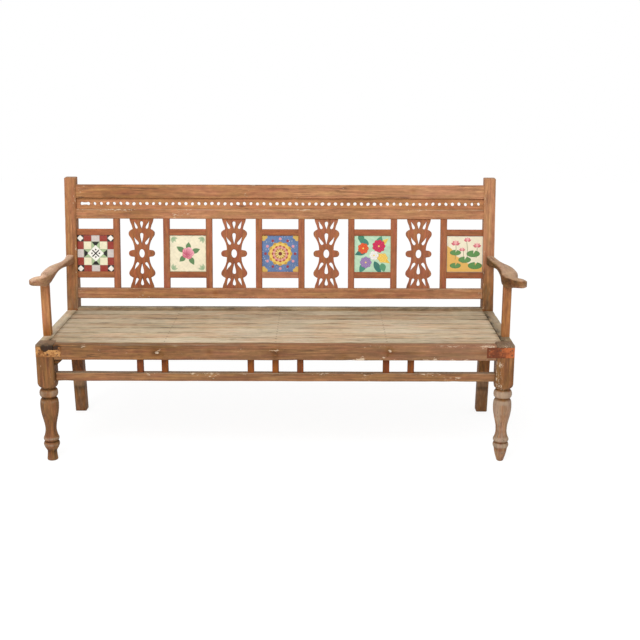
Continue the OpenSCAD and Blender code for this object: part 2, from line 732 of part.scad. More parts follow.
// Corner plates: outlines from the plate's outer lower corner, x towards the middle
plate_hi = seat_h - plate_drop;
brass_outline = [[0, 0], [brass_l, 0], [brass_l, plate_h * 0.92], [brass_l * 0.9, plate_h],
  [brass_l * 0.87, plate_h * 0.62], [brass_l * 0.72, plate_h * 0.55], [brass_l * 0.6, plate_h * 0.62],
  [brass_l * 0.48, plate_h * 0.5], [brass_l * 0.33, plate_h * 0.44], [brass_l * 0.26, plate_h * 0.66],
  [brass_l * 0.22, plate_h], [0, plate_h]];
copper_outline = [[0, 0], [copper_l, 0], [copper_l, plate_h], [0, plate_h]];
// Nails of a plate: distances from its outer end and its lower edge, as seen from the front
nail_in = 10;
brass_nails = [[nail_in + 4, plate_h * 0.67], [brass_l * 0.48, nail_in], [brass_l - nail_in - 2, nail_in],
  [brass_l - nail_in + 2, plate_h - nail_in]];
copper_nails = [[nail_in, nail_in], [nail_in, plate_h - nail_in], [copper_l / 2, plate_h - nail_in],
  [copper_l - nail_in, nail_in], [copper_l - nail_in, plate_h - nail_in]];
module plate_nails(side, g = 0) {
  for (p = side < 0 ? brass_nails : copper_nails)
    translate([end_x - plate_inset - p[0], -plate_t - head_t, plate_hi - plate_h + p[1]])
      rotate([-90, 0, 0]) nail(g);
}
module corner_plate(side, outline) {
  on_side(side) difference() {
    translate([end_x - plate_inset, 0, plate_hi - plate_h]) rotate([90, 0, 0])
      linear_extrude(plate_t) mirror([1, 0, 0]) polygon(outline);
    plate_nails(side, fit);
  }
}
module corner_plate_brass() color(brass) corner_plate(-1, brass_outline);
module corner_plate_copper() color(copper) corner_plate(1, copper_outline);

module nails() {
  color(iron) {
    for (i = [0 : slat_n - 1], b = [-1 : 1]) slat_nails(i, b);
    for (side = [-1, 1]) on_side(side) plate_nails(side);
  }
}
module bearer_pegs() color(peg_brown) for (i = [-1 : 1]) peg(i);

in_box() back_post(-1);  // back_post_left
in_box() back_post(1);  // back_post_right
in_box() front_leg(-1, foot_r_left, ankle_r_left);  // front_leg_left
in_box() front_leg(1, foot_r_right, ankle_r_right);  // front_leg_right
in_box() top_rail();
in_box() pierced_strip();
in_box() middle_rail();
in_box() lower_back_rail();
for (m = [0 : 7]) in_box() muntin(m);
for (s = [0 : 3]) in_box() splat(s);
for (b = [0 : 4]) {
  in_box() tile(b - last_bay);
  in_box() tile_rail(head_lo(), b - last_bay);
  in_box() tile_rail(sill_lo(), b - last_bay);
}
in_box() front_seat_rail();
in_box() rear_seat_rail();
in_box() side_seat_rail(-1);  // side_seat_rail_left
in_box() side_seat_rail(1);  // side_seat_rail_right
for (i = [0 : slat_n - 1]) in_box() seat_slat(i);
in_box() seat_bearer(-1);  // seat_bearer_left
in_box() seat_bearer(0);  // seat_bearer_middle
in_box() seat_bearer(1);  // seat_bearer_right
in_box() front_stretcher();
in_box() stretcher_spindles();
in_box() knee_block();
in_box() arm(-1, nose_left);  // arm_left
in_box() arm(1, nose_right);  // arm_right
in_box() arm_support(-1);  // arm_support_left
in_box() arm_support(1);  // arm_support_right
in_box() corner_plate_brass();
in_box() corner_plate_copper();
in_box() nails();
in_box() bearer_pegs();
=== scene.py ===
# %% [markdown]
# A garden bench in reclaimed teak, with carved splats and glazed tiles in its back.
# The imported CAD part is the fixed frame: it gives every size. This lesson dresses it piece by
# piece, with surfaces worked out in numpy and finishes made of shader nodes.

import math

import bpy
import numpy as np
from mathutils import Matrix, Vector
from mathutils.geometry import delaunay_2d_cdt


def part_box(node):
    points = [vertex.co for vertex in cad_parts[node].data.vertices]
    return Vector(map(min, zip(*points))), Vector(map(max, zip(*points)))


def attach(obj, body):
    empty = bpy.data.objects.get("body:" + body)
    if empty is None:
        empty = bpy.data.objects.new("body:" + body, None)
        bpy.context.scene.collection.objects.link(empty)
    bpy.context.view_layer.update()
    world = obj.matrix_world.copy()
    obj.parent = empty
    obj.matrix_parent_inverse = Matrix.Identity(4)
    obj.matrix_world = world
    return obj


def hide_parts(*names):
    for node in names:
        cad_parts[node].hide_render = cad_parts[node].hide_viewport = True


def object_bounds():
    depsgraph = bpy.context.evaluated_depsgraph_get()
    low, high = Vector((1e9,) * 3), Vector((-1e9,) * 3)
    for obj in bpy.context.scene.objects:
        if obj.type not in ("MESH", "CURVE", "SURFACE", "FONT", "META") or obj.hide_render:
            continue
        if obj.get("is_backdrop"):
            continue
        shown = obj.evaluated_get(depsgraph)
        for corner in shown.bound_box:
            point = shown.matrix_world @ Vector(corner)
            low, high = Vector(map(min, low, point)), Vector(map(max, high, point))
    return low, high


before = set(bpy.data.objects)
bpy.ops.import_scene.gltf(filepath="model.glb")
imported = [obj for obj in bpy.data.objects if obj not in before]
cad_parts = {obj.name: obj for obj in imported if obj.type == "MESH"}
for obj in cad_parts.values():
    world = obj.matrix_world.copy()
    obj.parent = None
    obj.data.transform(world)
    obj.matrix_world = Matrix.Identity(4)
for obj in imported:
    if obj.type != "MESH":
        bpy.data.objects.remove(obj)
cad_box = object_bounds()
print("CAD box", [[round(c, 4) for c in corner] for corner in cad_box])

# %% [markdown]
# The bench was drawn in millimetres, from the middle of the front seat rail's face. The front rail
# tells where that point lies in the scene. The back leans, so its pieces are easier to describe
# upright: points are worked out in the back's own directions (along, depth, height) and then leaned.

# %% Places and sizes
MM = 0.001
RAKE = math.radians(7.5)
SEAT_TOP, SEAT_DEPTH = 456.0, 532.0
SEAT_BACK = np.array([0.0, SEAT_DEPTH, SEAT_TOP])
LEAN = np.array([[1, 0, 0], [0, math.cos(RAKE), math.sin(RAKE)], [0, -math.sin(RAKE), math.cos(RAKE)]])
rail_low, rail_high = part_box("front_seat_rail")
ZERO = -np.array([(rail_low.x + rail_high.x) / 2, rail_low.y, 0]) / MM


def leaned(points):
    """Points of the upright back, turned back by the rake about the foot of the back."""
    return points @ LEAN.T + SEAT_BACK


def reach(node, leaning=False):
    """Lowest and highest corner of a CAD node in the drawing, or in the upright back."""
    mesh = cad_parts[node].data
    flat = np.empty(len(mesh.vertices) * 3, np.float32)
    mesh.vertices.foreach_get("co", flat)
    points = flat.reshape(-1, 3) / MM + ZERO
    if leaning:
        points = (points - SEAT_BACK) @ LEAN
    return points.min(0), points.max(0)


print("the drawing's zero point, in mm from the scene's", np.round(-ZERO, 2))

# %% [markdown]
# Old boards aren't straight: their faces waver a little and their edges are rubbed round. A sum of
# a few sine waves with seeded lengths and phases gives a slow unevenness that is the same each run.


# %% Slow unevenness
def waver(s, seed, wave=180.0):
    """A slow wave between about -1 and 1: the mean of sines whose lengths and phases come from the seed."""
    rng, parts = np.random.default_rng(seed), 5
    lengths = wave * rng.uniform(0.35, 1.6, parts)
    phases = rng.uniform(0, 2 * np.pi, parts)
    return 1.5 * np.sin(2 * np.pi * np.asarray(s)[..., None] / lengths + phases).mean(-1)


def spline(points, u):
    """A Catmull-Rom curve: at u = k it passes through point k, with the slope of its two neighbours."""
    p = np.asarray(points, float)
    p = np.vstack([2 * p[0] - p[1], p, 2 * p[-1] - p[-2]])
    u = np.asarray(u, float)
    i = np.clip(u.astype(int), 0, len(p) - 4)
    t = (u - i)[:, None]
    a, b, c, d = p[i], p[i + 1], p[i + 2], p[i + 3]
    return 0.5 * (2 * b + (c - a) * t + (2 * a - 5 * b + 4 * c - d) * t**2 + (3 * b - a - 3 * c + d) * t**3)


def along(points, per=6):
    """The whole Catmull-Rom curve, with the same number of steps between each two points."""
    return spline(points, np.linspace(0, len(points) - 1, (len(points) - 1) * per + 1))


slow_wave = waver(np.arange(2000.0), 1)
print("waver runs from", *np.round([slow_wave.min(), slow_wave.max()], 2))

# %% [markdown]
# Every wooden piece is a solid: a grid of rings that is closed by a fan at each end. With its
# points it carries fields that its finish reads: grain (metres along and across the fibres), wear
# (1 on an edge, 0 on a face), tint (lighter or darker), age (how much greyer than the rest of its
# board) and paint (where old paint still clings).


# %% From grids to solids
def grid_quads(index):
    """Faces of a grid of point numbers: each point with its neighbours beside, across and below."""
    return np.stack([index[:-1, :-1], index[:-1, 1:], index[1:, 1:], index[1:, :-1]], -1).reshape(-1, 4)


def tube(grid, **fields):
    """Closes a grid (station, ring, 3): rings run round, and an end ring closes on its middle point."""
    n, m, _ = grid.shape
    index = np.arange(n * m).reshape(n, m)
    beside = np.roll(index, -1, 1)
    quads = grid_quads(np.c_[index, index[:, 0]])
    start, end = np.full(m, n * m), np.full(m, n * m + 1)
    start_fan = np.stack([start, beside[0], index[0]], -1)
    end_fan = np.stack([end, index[-1], beside[-1]], -1)
    solid = {"quads": quads, "tris": np.concatenate([start_fan, end_fan])}
    for key, values in {"points": grid, **fields}.items():
        flat = values.reshape(n * m, -1)
        middles = [ring.reshape(m, -1).mean(0)[None] for ring in (values[0], values[-1])]
        solid[key] = np.concatenate([flat, *middles])
    return solid


def joined(solids):
    """Several solids as one: their points follow each other, and their faces count on from there."""
    whole, start = {}, 0
    for part in solids:
        for key, values in part.items():
            whole.setdefault(key, []).append(values + start if key in ("quads", "tris") else values)
        start += len(part["points"])
    return {key: np.concatenate(values) for key, values in whole.items()}


def spots(points, places):
    """A field of spots: each place (x, y, z, radius, strength) adds a Gaussian hill.

    A sixth number makes the hill that many times lower than it is long."""
    field = np.zeros(points.shape[:-1])
    for x, y, z, radius, strength, *flat in places:
        away = (((points - np.array([x, y, z])) * [1, 1, *(flat or [1])]) ** 2).sum(-1)
        field += strength * np.exp(-away / radius**2)
    return field


print("fields of a wooden solid: grain, wear, tint, age, paint")

# %% [markdown]
# A sawn and planed board is a rectangle with round corners, carried along its length. A cube with
# a Bevel modifier would give the shape, but not edges that are rubbed more in one place than in
# another. Here each corner's radius wavers along the board, with a few deeper chips.

# %% Boards
ARC = np.linspace(0, np.pi / 2, 4)
SIDE = np.array([0.05, 0.15, 0.32, 0.5, 0.68, 0.85, 0.95])
CORNERS = np.array([[1, 1], [-1, 1], [-1, -1], [1, -1]])


def rounded(width, height, radius):
    """Rings of a rectangle with round corners, and how far along a face each point lies from a corner.

    Corner c's arc has its centre one radius in from both sides and turns from 90c to 90(c + 1)
    degrees. Between two arcs the points lie on the straight line that joins their ends."""
    half = np.stack([width, height], -1)[:, None, :] / 2
    centre = CORNERS * (half - radius[..., None])
    turn = ARC + np.arange(4)[:, None] * np.pi / 2
    arcs = centre[:, :, None] + radius[..., None, None] * np.stack([np.cos(turn), np.sin(turn)], -1)
    ends, starts = arcs[:, :, -1], np.roll(arcs[:, :, 0], -1, 1)
    sides = ends[:, :, None] + (starts - ends)[:, :, None] * SIDE[:, None]
    span = np.linalg.norm(starts - ends, axis=-1)[..., None]
    away = np.concatenate([np.zeros(arcs.shape[:3]), np.minimum(SIDE, 1 - SIDE) * span], 2)
    ring = np.concatenate([arcs, sides], 2)
    return ring.reshape(len(ring), -1, 2), away.reshape(len(ring), -1)


def board(
    low, high, axis=0, edge=2.2, uneven=0.4, seed=0, step=15.0, trim=0.0, chips=2,
    tint=0.0, knots_and_shading=(), ages=(), paint=(),
):
    """A board between two corners, along an axis: rounded rectangles whose size and corners waver.

    At each end the section draws in along a quarter circle, by one edge radius. A chip is a
    Gaussian hill on one corner's radius. trim shortens both ends, where a tenon is hidden."""
    low, high = np.array(low, float), np.array(high, float)
    low[axis] += trim
    high[axis] -= trim
    a, b = (axis + 1) % 3, (axis + 2) % 3
    length = high[axis] - low[axis]
    turn = np.linspace(0, np.pi / 2, 4)[1:]
    run = np.linspace(low[axis] + edge, high[axis] - edge, max(4, int(length / step)))
    ends = edge * (1 - np.sin(turn))
    s = np.concatenate([low[axis] + ends[::-1], run, high[axis] - ends])
    inset = edge * (1 - np.cos(turn))
    inset = np.concatenate([inset[::-1], np.zeros(len(run)), inset])
    rng = np.random.default_rng(seed)
    radius = np.stack([edge * (1 + 0.35 * waver(s, seed + c, 260)) for c in range(4)], -1)
    for c in rng.integers(0, 4, chips):
        at, size = rng.uniform(low[axis], high[axis]), rng.uniform(6, 22)
        radius[:, c] += edge * rng.uniform(0.6, 1.4) * np.exp(-(((s - at) / size) ** 2))
    width = high[a] - low[a] - uneven * (0.6 + 0.5 * waver(s, seed + 7, 420)) - 2 * inset
    height = high[b] - low[b] - uneven * (0.6 + 0.5 * waver(s, seed + 8, 420)) - 2 * inset
    radius = np.clip(radius, 0.3, 0.45 * np.minimum(width, height)[:, None])
    ring, away = rounded(width, height, radius)
    grid = np.empty(ring.shape[:2] + (3,))
    grid[..., axis] = s[:, None]
    grid[..., a] = (low[a] + high[a]) / 2 + ring[..., 0]
    grid[..., b] = (low[b] + high[b]) / 2 + ring[..., 1]
    drift = 3 * waver(s, seed + 9, 700)[:, None]
    grain = np.stack([s[:, None] + 0 * ring[..., 0], ring[..., 0] + drift, ring[..., 1] + drift], -1)
    grain = grain * MM + rng.uniform(-9, 9, 3)
    wear = np.exp(-away / 2.5) * (0.75 + 0.25 * waver(s, seed + 5, 90)[:, None])
    # Spots in the tint: knots and dark marks, and broad painted light and shade
    shade = tint + 0.18 * waver(s, seed + 6, 500)[:, None] + spots(grid, knots_and_shading)
    return tube(grid, grain=grain, wear=wear, tint=shade, age=spots(grid, ages), paint=spots(grid, paint))


sample = board([0, 0, 0], [500, 40, 30])
print("a half-metre board has", len(sample["points"]), "points")

# %% [markdown]
# A finished solid becomes a mesh object with its fields as attributes. It rides on the bench's one
# body, stands for its CAD nodes and takes its finish.

# %% Solids to meshes
FIELDS = {
    "grain": "FLOAT_VECTOR", "wear": "FLOAT", "tint": "FLOAT", "age": "FLOAT", "paint": "FLOAT",
    "glaze": "FLOAT_COLOR",
}
VALUE_NAMES = {"FLOAT": "value", "FLOAT_VECTOR": "vector", "FLOAT_COLOR": "color"}
SHARP = math.radians(38)


def place(name, solid, finish, slot, *nodes, lean=False):
    """Makes the mesh object of a solid: its points leaned if need be, moved and set in metres.

    Faces that meet at more than the sharp angle keep a crisp edge between them."""
    points = leaned(solid["points"]) if lean else solid["points"]
    points = (points - ZERO) * MM
    quads, tris = solid["quads"], solid["tris"]
    mesh = bpy.data.meshes.new(name)
    mesh.vertices.add(len(points))
    mesh.vertices.foreach_set("co", points.astype(np.float32).ravel())
    mesh.loops.add(quads.size + tris.size)
    mesh.loops.foreach_set("vertex_index", np.concatenate([quads.ravel(), tris.ravel()]).astype(np.int32))
    sizes = np.concatenate([np.full(len(quads), 4), np.full(len(tris), 3)])
    mesh.polygons.add(len(sizes))
    mesh.polygons.foreach_set("loop_start", (np.cumsum(sizes) - sizes).astype(np.int32))
    mesh.update(calc_edges=True)
    mesh.validate()
    mesh.shade_smooth()
    mesh.set_sharp_from_angle(angle=SHARP)
    for field, kind in FIELDS.items():
        if field in solid:
            values = solid[field].astype(np.float32)
            carrier = mesh.attributes.new(field, kind, "POINT")
            carrier.data.foreach_set(VALUE_NAMES[kind], values.ravel())
    mesh.materials.append(finish)
    piece = bpy.data.objects.new(name, mesh)
    bpy.context.scene.collection.objects.link(piece)
    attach(piece, "root")
    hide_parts(*nodes)
    return piece


print("ready to place solids")

# %% [markdown]
# The finishes are node trees. A small helper keeps them readable: each call adds one node, sets
# its inputs, and returns the output that the next call uses.


# %% A helper for finishes
def rgb(red, green, blue):
    """A screen colour (0 to 255) as the linear colour that shaders take."""
    c = np.array([red, green, blue]) / 255
    return np.where(c <= 0.04045, c / 12.92, ((c + 0.055) / 1.055) ** 2.4)


class Finish:
    """A material that is built one node at a time."""

    def __init__(self, name):
        self.material = bpy.data.materials.new(name)
        self.material.use_nodes = True
        self.tree = self.material.node_tree
        self.shader = self.tree.nodes["Principled BSDF"]

    def add(self, kind, inputs, out=0, **settings):
        """Adds a node, links or sets its inputs, and returns one of its outputs."""
        node = self.tree.nodes.new("ShaderNode" + kind)
        for key, value in settings.items():
            setattr(node, key, value)
        for key, value in inputs.items():
            if isinstance(value, bpy.types.NodeSocket):
                self.tree.links.new(value, node.inputs[key])
            else:
                node.inputs[key].default_value = value
        return node.outputs[out]

    def field(self, name, out="Fac"):
        """A field that the piece carries."""
        return self.add("Attribute", {}, out, attribute_name=name)

    def noise(self, vector, scale, detail, rough=0.55, bend=0.0):
        """Noise, stretched by a scale for each direction."""
        vector = self.add("Mapping", {"Vector": vector, "Scale": scale})
        inputs = {"Vector": vector, "Scale": 1.0, "Detail": detail, "Roughness": rough, "Distortion": bend}
        return self.add("TexNoise", inputs)

    def step(self, value, low, high, start=0.0, end=1.0):
        """A smooth step from start to end while the value runs from low to high."""
        inputs = {"Value": value, "From Min": low, "From Max": high, "To Min": start, "To Max": end}
        return self.add("MapRange", inputs, interpolation_type="SMOOTHSTEP")

    def math(self, operation, a, b=0.0, c=0.0):
        """One sum, product or other operation."""
        return self.add("Math", {0: a, 1: b, 2: c}, operation=operation)

    def mix(self, share, a, b):
        """Colour a, with colour b laid over it by a share from 0 to 1."""
        a, b = (v if isinstance(v, bpy.types.NodeSocket) else (*v, 1.0) for v in (a, b))
        return self.add("Mix", {0: share, 6: a, 7: b}, 2, data_type="RGBA")

    def finish(self, colour, rough, height, depth, strength, **numbers):
        """Links colour, roughness and bump to the shader, and sets its even numbers."""
        bump = self.add("Bump", {"Height": height, "Distance": depth, "Strength": strength})
        for key, value in {"Base Color": colour, "Roughness": rough, "Normal": bump}.items():
            self.tree.links.new(value, self.shader.inputs[key])
        for key, value in numbers.items():
            self.shader.inputs[key.replace("_", " ")].default_value = value
        return self.material


print("a screen colour of 128 is", round(float(rgb(128, 128, 128)[0]), 3), "to a shader")

# %% [markdown]
# Teak has long fibres with dark streaks and fine pores. Out of doors it goes grey where rain and
# sun reach it, it opens in thin checks along the grain, and this bench keeps flecks of old paint.
# Every pattern is noise that is stretched along the grain field, so it follows each board.


# %% Teak
CHECK_DARK, OLD_PAINT = rgb(58, 40, 28), rgb(208, 186, 160)
KNOT_RINGS = 800.0


def teak(name, light, mid, dark, grey, aged, flecked, checks=0.5, up=0.25, knot=None):
    """A teak finish: streaks between dark and light, greyed by age, wear and sky, with checks and paint.

    aged, flecked and checks say how much of each there is, up how much more an upward face greys, and
    knot where a knot cut across shows its rings."""
    f = Finish(name)
    grain = f.field("grain", "Vector")
    wear, tint, paint = f.field("wear"), f.field("tint"), f.field("paint")
    figure = f.noise(grain, (2.2, 40, 40), 4, 0.6, 0.5)
    streak = f.noise(grain, (6, 160, 160), 5, 0.62, 0.2)
    fibre = f.noise(grain, (45, 1500, 1500), 3, 0.6)
    colour = f.mix(f.step(figure, 0.3, 0.66), rgb(*dark), rgb(*mid))
    colour = f.mix(f.step(streak, 0.46, 0.72), colour, rgb(*light))
    colour = f.mix(f.step(streak, 0.45, 0.28, 0, 0.6), colour, rgb(*dark))
    colour = f.mix(f.step(fibre, 0.35, 0.7, 0.0, 0.16), colour, rgb(*dark))
    # Age: patches, upward faces and rubbed edges turn grey
    patch = f.noise(grain, (7, 40, 40), 5, 0.7)
    sky = f.add("SeparateXYZ", {0: f.add("NewGeometry", {}, "Normal")}, "Z")
    sky = f.math("MULTIPLY_ADD", f.math("MAXIMUM", sky, 0.0), up, f.field("age"))
    age = f.math("ADD", f.math("MULTIPLY_ADD", wear, 0.12, sky), patch)
    age = f.step(age, 0.78 - 0.4 * aged, 1.02 - 0.4 * aged, 0.0, min(1.0, 0.45 + aged))
    colour = f.mix(age, colour, rgb(*grey))
    # Lighter and darker boards, knots included, with patina: small blotches and a hue that drifts
    blotch = f.math("SUBTRACT", f.noise(grain, (26, 85, 85), 4, 0.65), 0.5)
    value = f.math("MULTIPLY_ADD", blotch, 1.1, f.math("MULTIPLY_ADD", tint, 0.3, 1.0))
    value = f.math("MAXIMUM", value, 0.1)
    depth = f.math("MAXIMUM", f.math("MULTIPLY_ADD", tint, -0.1, 1.0), 0.9)
    hue = f.math("MULTIPLY_ADD", f.noise(grain, (8, 55, 55), 3), 0.05, 0.475)
    colour = f.add("HueSaturation", {"Hue": hue, "Value": value, "Saturation": depth, "Color": colour})
    if knot is not None:
        # A knot cut across: rings round one place, which fade outwards
        where = f.add("TexCoord", {}, "Object")
        away = f.add("VectorMath", {0: where, 1: knot}, "Value", operation="DISTANCE")
        rings = f.math("MULTIPLY_ADD", f.math("SINE", f.math("MULTIPLY", away, KNOT_RINGS)), 0.5, 0.5)
        colour = f.mix(f.math("MULTIPLY", rings, f.step(away, 0.024, 0.012, 0.0, 0.9)), colour, rgb(*dark))
    # Checks: thin dark lines where a slow noise crosses its middle, in some places only
    line = f.math("ABSOLUTE", f.math("SUBTRACT", f.noise(grain, (2.4, 90, 90), 1, 0.4, 0.3), 0.5))
    some = f.step(f.noise(grain, (5, 30, 30), 2), 0.62 - 0.14 * checks, 0.72 - 0.14 * checks)
    check = f.math("MULTIPLY", f.step(line, 0.02, 0.006), some)
    colour = f.mix(f.math("MULTIPLY", check, 0.6), colour, CHECK_DARK)
    # Old paint: pale flecks, more on edges and where the paint field says
    fleck = f.noise(grain, (80, 240, 240), 4, 0.65)
    fleck = f.math("ADD", fleck, f.math("MULTIPLY", wear, 0.07 * flecked))
    fleck = f.math("MULTIPLY_ADD", paint, 0.2, fleck)
    fleck = f.step(fleck, 0.76 - 0.05 * flecked, 0.8 - 0.05 * flecked)
    colour = f.mix(f.math("MULTIPLY", fleck, 0.7), colour, OLD_PAINT)
    rough = f.step(streak, 0.3, 0.7, 0.55, 0.75)
    height = f.math("MULTIPLY_ADD", fibre, 0.25, f.math("MULTIPLY", streak, 0.5))
    height = f.math("SUBTRACT", height, f.math("MULTIPLY", check, 1.2))
    height = f.math("MULTIPLY_ADD", fleck, 0.3, height)
    return f.finish(colour, rough, height, 0.0012, 0.7, Specular_IOR_Level=0.3)


brown = teak(
    "teak brown", (190, 139, 99), (170, 119, 82), (147, 98, 65), (166, 137, 110), aged=0.2, flecked=0.8,
)
rail_brown = teak(
    "teak seat rail", (154, 110, 72), (135, 92, 57), (109, 73, 44), (138, 119, 98), aged=0.2, flecked=1.0,
    checks=0.8,
)
# A darker copy of the teak: painted shade for the bearers under the slats
shaded = teak(
    "teak dark", (134, 92, 56), (116, 76, 42), (84, 50, 24), (128, 100, 74), aged=0.1, flecked=0.3,
)
russet = teak(
    "teak russet", (164, 100, 63), (150, 89, 55), (132, 76, 46), (160, 110, 80), aged=0.1, flecked=0.3,
    checks=0.2, up=0.15,
)
amber = teak(
    "teak amber", (182, 128, 82), (163, 109, 66), (141, 89, 50), (172, 136, 100), aged=0.15, flecked=0.5,
    checks=0.4,
)
grey = teak(
    "teak grey", (208, 183, 151), (190, 162, 130), (162, 134, 104), (182, 168, 142), aged=0.4, flecked=0.3,
    checks=1.0,
)
palm_knot = (np.array([-847.0, 113.0, 699.0]) - ZERO) * MM
tan = teak(
    "teak tan", (168, 127, 92), (152, 111, 78), (126, 88, 60), (190, 155, 125), aged=0.4, flecked=0.1,
    checks=0.6, up=0.5, knot=palm_knot,
)
print("teak finishes:", [m.name for m in bpy.data.materials if m.name.startswith("teak")])

# %% [markdown]
# The seat frame is made of thick rails: an apron along the front, a rear rail that stands a little
# above the slats, and two side rails with a ledge for the slats' ends. The apron shows the most
# wear, with pale chips near its pegs. A board is called for each, with its size from its CAD node.


# %% Seat frame
def at_depth(y, *places):
    """Spots at one depth y: a place gives x, height, radius, strength and perhaps how flat it is."""
    return [(x, y, z, *rest) for x, z, *rest in places]


def mirrored(solid):
    """The same solid on the other side: x changes sign, and the faces turn round to point outwards."""
    twin = {key: values.copy() for key, values in solid.items()}
    twin["points"][:, 0] *= -1
    twin["quads"], twin["tris"] = twin["quads"][:, ::-1], twin["tris"][:, ::-1]
    return twin


apron_paint = at_depth(
    0, (-432, 428, 9, 1.6), (-424, 437, 7, 1.0), (417, 435, 7, 1.7), (395, 410, 12, 1.4, 2),
    (307, 400, 12, 1.2, 2), (324, 407, 11, 1.0), (0, 436, 26, 1.1, 4), (584, 405, 9, 1.4),
    (645, 401, 16, 1.3, 2), (300, 402, 30, 0.7, 2), (550, 402, 14, 1.1, 2), (775, 450, 40, 1.1, 3),
    (-700, 453, 9, 1.0), (-350, 432, 14, 0.9, 3), (-635, 439, 14, 0.9, 3), (-545, 430, 14, 0.8, 3),
    (640, 453, 50, 0.6, 5), (380, 453, 60, 0.5, 6), (700, 401, 18, 1.0, 3), (-120, 440, 20, 0.7, 3),
)
# Knots, dark marks in the brass plate's torn notch, and two broad spots: painted shade over the left part
# and painted light over the right
apron_knots_and_shading = at_depth(
    0, (1, 421, 13, -1.9), (0, 437, 44, -0.5, 3), (417, 435, 15, -1.5), (-432, 428, 18, -1.5, 1.5),
    (-240, 430, 12, -0.9), (250, 415, 16, -0.6), (-804, 444, 13, -3.0), (-791, 446, 10, -2.6),
    (-600, 425, 300, -0.5), (700, 425, 300, 0.75),
)
low, high = reach("front_seat_rail")
apron = board(
    low, high, seed=11, trim=26, edge=3.2, step=7, chips=7, knots_and_shading=apron_knots_and_shading, paint=apron_paint,
    ages=at_depth(0, (560, 427, 360, -0.75)),
)
x, y, z = apron["points"].T
SEAM_X, SEAM_Z = 330, 427.5
seam = np.exp(-(((z - SEAM_Z) / 4) ** 2)) * np.clip((x - SEAM_X) / 80, 0, 1) * (y < 6)
apron["tint"][:, 0] -= 0.75 * seam * (0.7 + 0.5 * waver(x, 18, 240))
place("apron", apron, rail_brown, "teak_brown", "front_seat_rail")

REAR_Y = SEAT_DEPTH + 2
low, high = reach("rear_seat_rail")
rear_paint = at_depth(REAR_Y, (60, 466, 40, 1.0), (-640, 466, 30, 0.6))
rear = board(
    low, high, seed=12, edge=4, chips=6, tint=-1.3, knots_and_shading=at_depth(REAR_Y, (130, 466, 90, 1.0)),
    paint=rear_paint,
)
# Painted shade: the rail's top face is darkened
rear["tint"][:, 0] -= 0.5 * (rear["points"][:, 2] > high[2] - 5)
place("rear_rail", rear, grey, "teak_grey", "rear_seat_rail")

BLOCK_BACK, LEDGE_W, LEDGE_TOP = 66, 14, 438


def side_rail(seed, tint):
    """The right side rail: a board beside the slats' ends, and a second one for the ledge under them."""
    low, high = reach("side_seat_rail_right")
    low[1], high[1] = BLOCK_BACK, SEAT_DEPTH
    ledge_low, ledge_high = low.copy(), high.copy()
    low[0] += LEDGE_W
    ledge_high[0] = low[0] + 3
    ledge_high[2] = LEDGE_TOP
    paint = [(high[0], 430, SEAT_TOP, 40, 0.6), (low[0], 150, SEAT_TOP, 30, 0.5)]
    rail = board(low, high, 1, 3, seed=seed, chips=6, tint=tint, paint=paint)
    x, y, _ = rail["points"].T
    by_slats = 1.6 * np.exp(-(((x - low[0]) / 12) ** 2)) * (0.8 + 0.6 * waver(y, seed + 1, 90))
    rail["tint"][:, 0] -= by_slats + 0.8 * np.exp(-(((y - BLOCK_BACK) / 60) ** 2))
    # The ledge is darkened all over: painted shade under the slats' ends
    return joined([rail, board(ledge_low, ledge_high, 1, 1.5, seed=seed + 40, tint=-2.6)])


place("side_rail_left", mirrored(side_rail(13, 0.3)), grey, "teak_grey", "side_seat_rail_left")
place("side_rail_right", side_rail(14, -1.1), grey, "teak_grey", "side_seat_rail_right")
for k, node in enumerate(["seat_bearer_left", "seat_bearer_middle", "seat_bearer_right"]):
    low, high = reach(node)
    bearer = board(low, high, 1, 1.5, seed=20 + k, trim=13)
    place(node.replace("seat_", ""), bearer, shaded, "teak_brown", node)
print("seat frame: apron, rear rail, two side rails, three bearers")
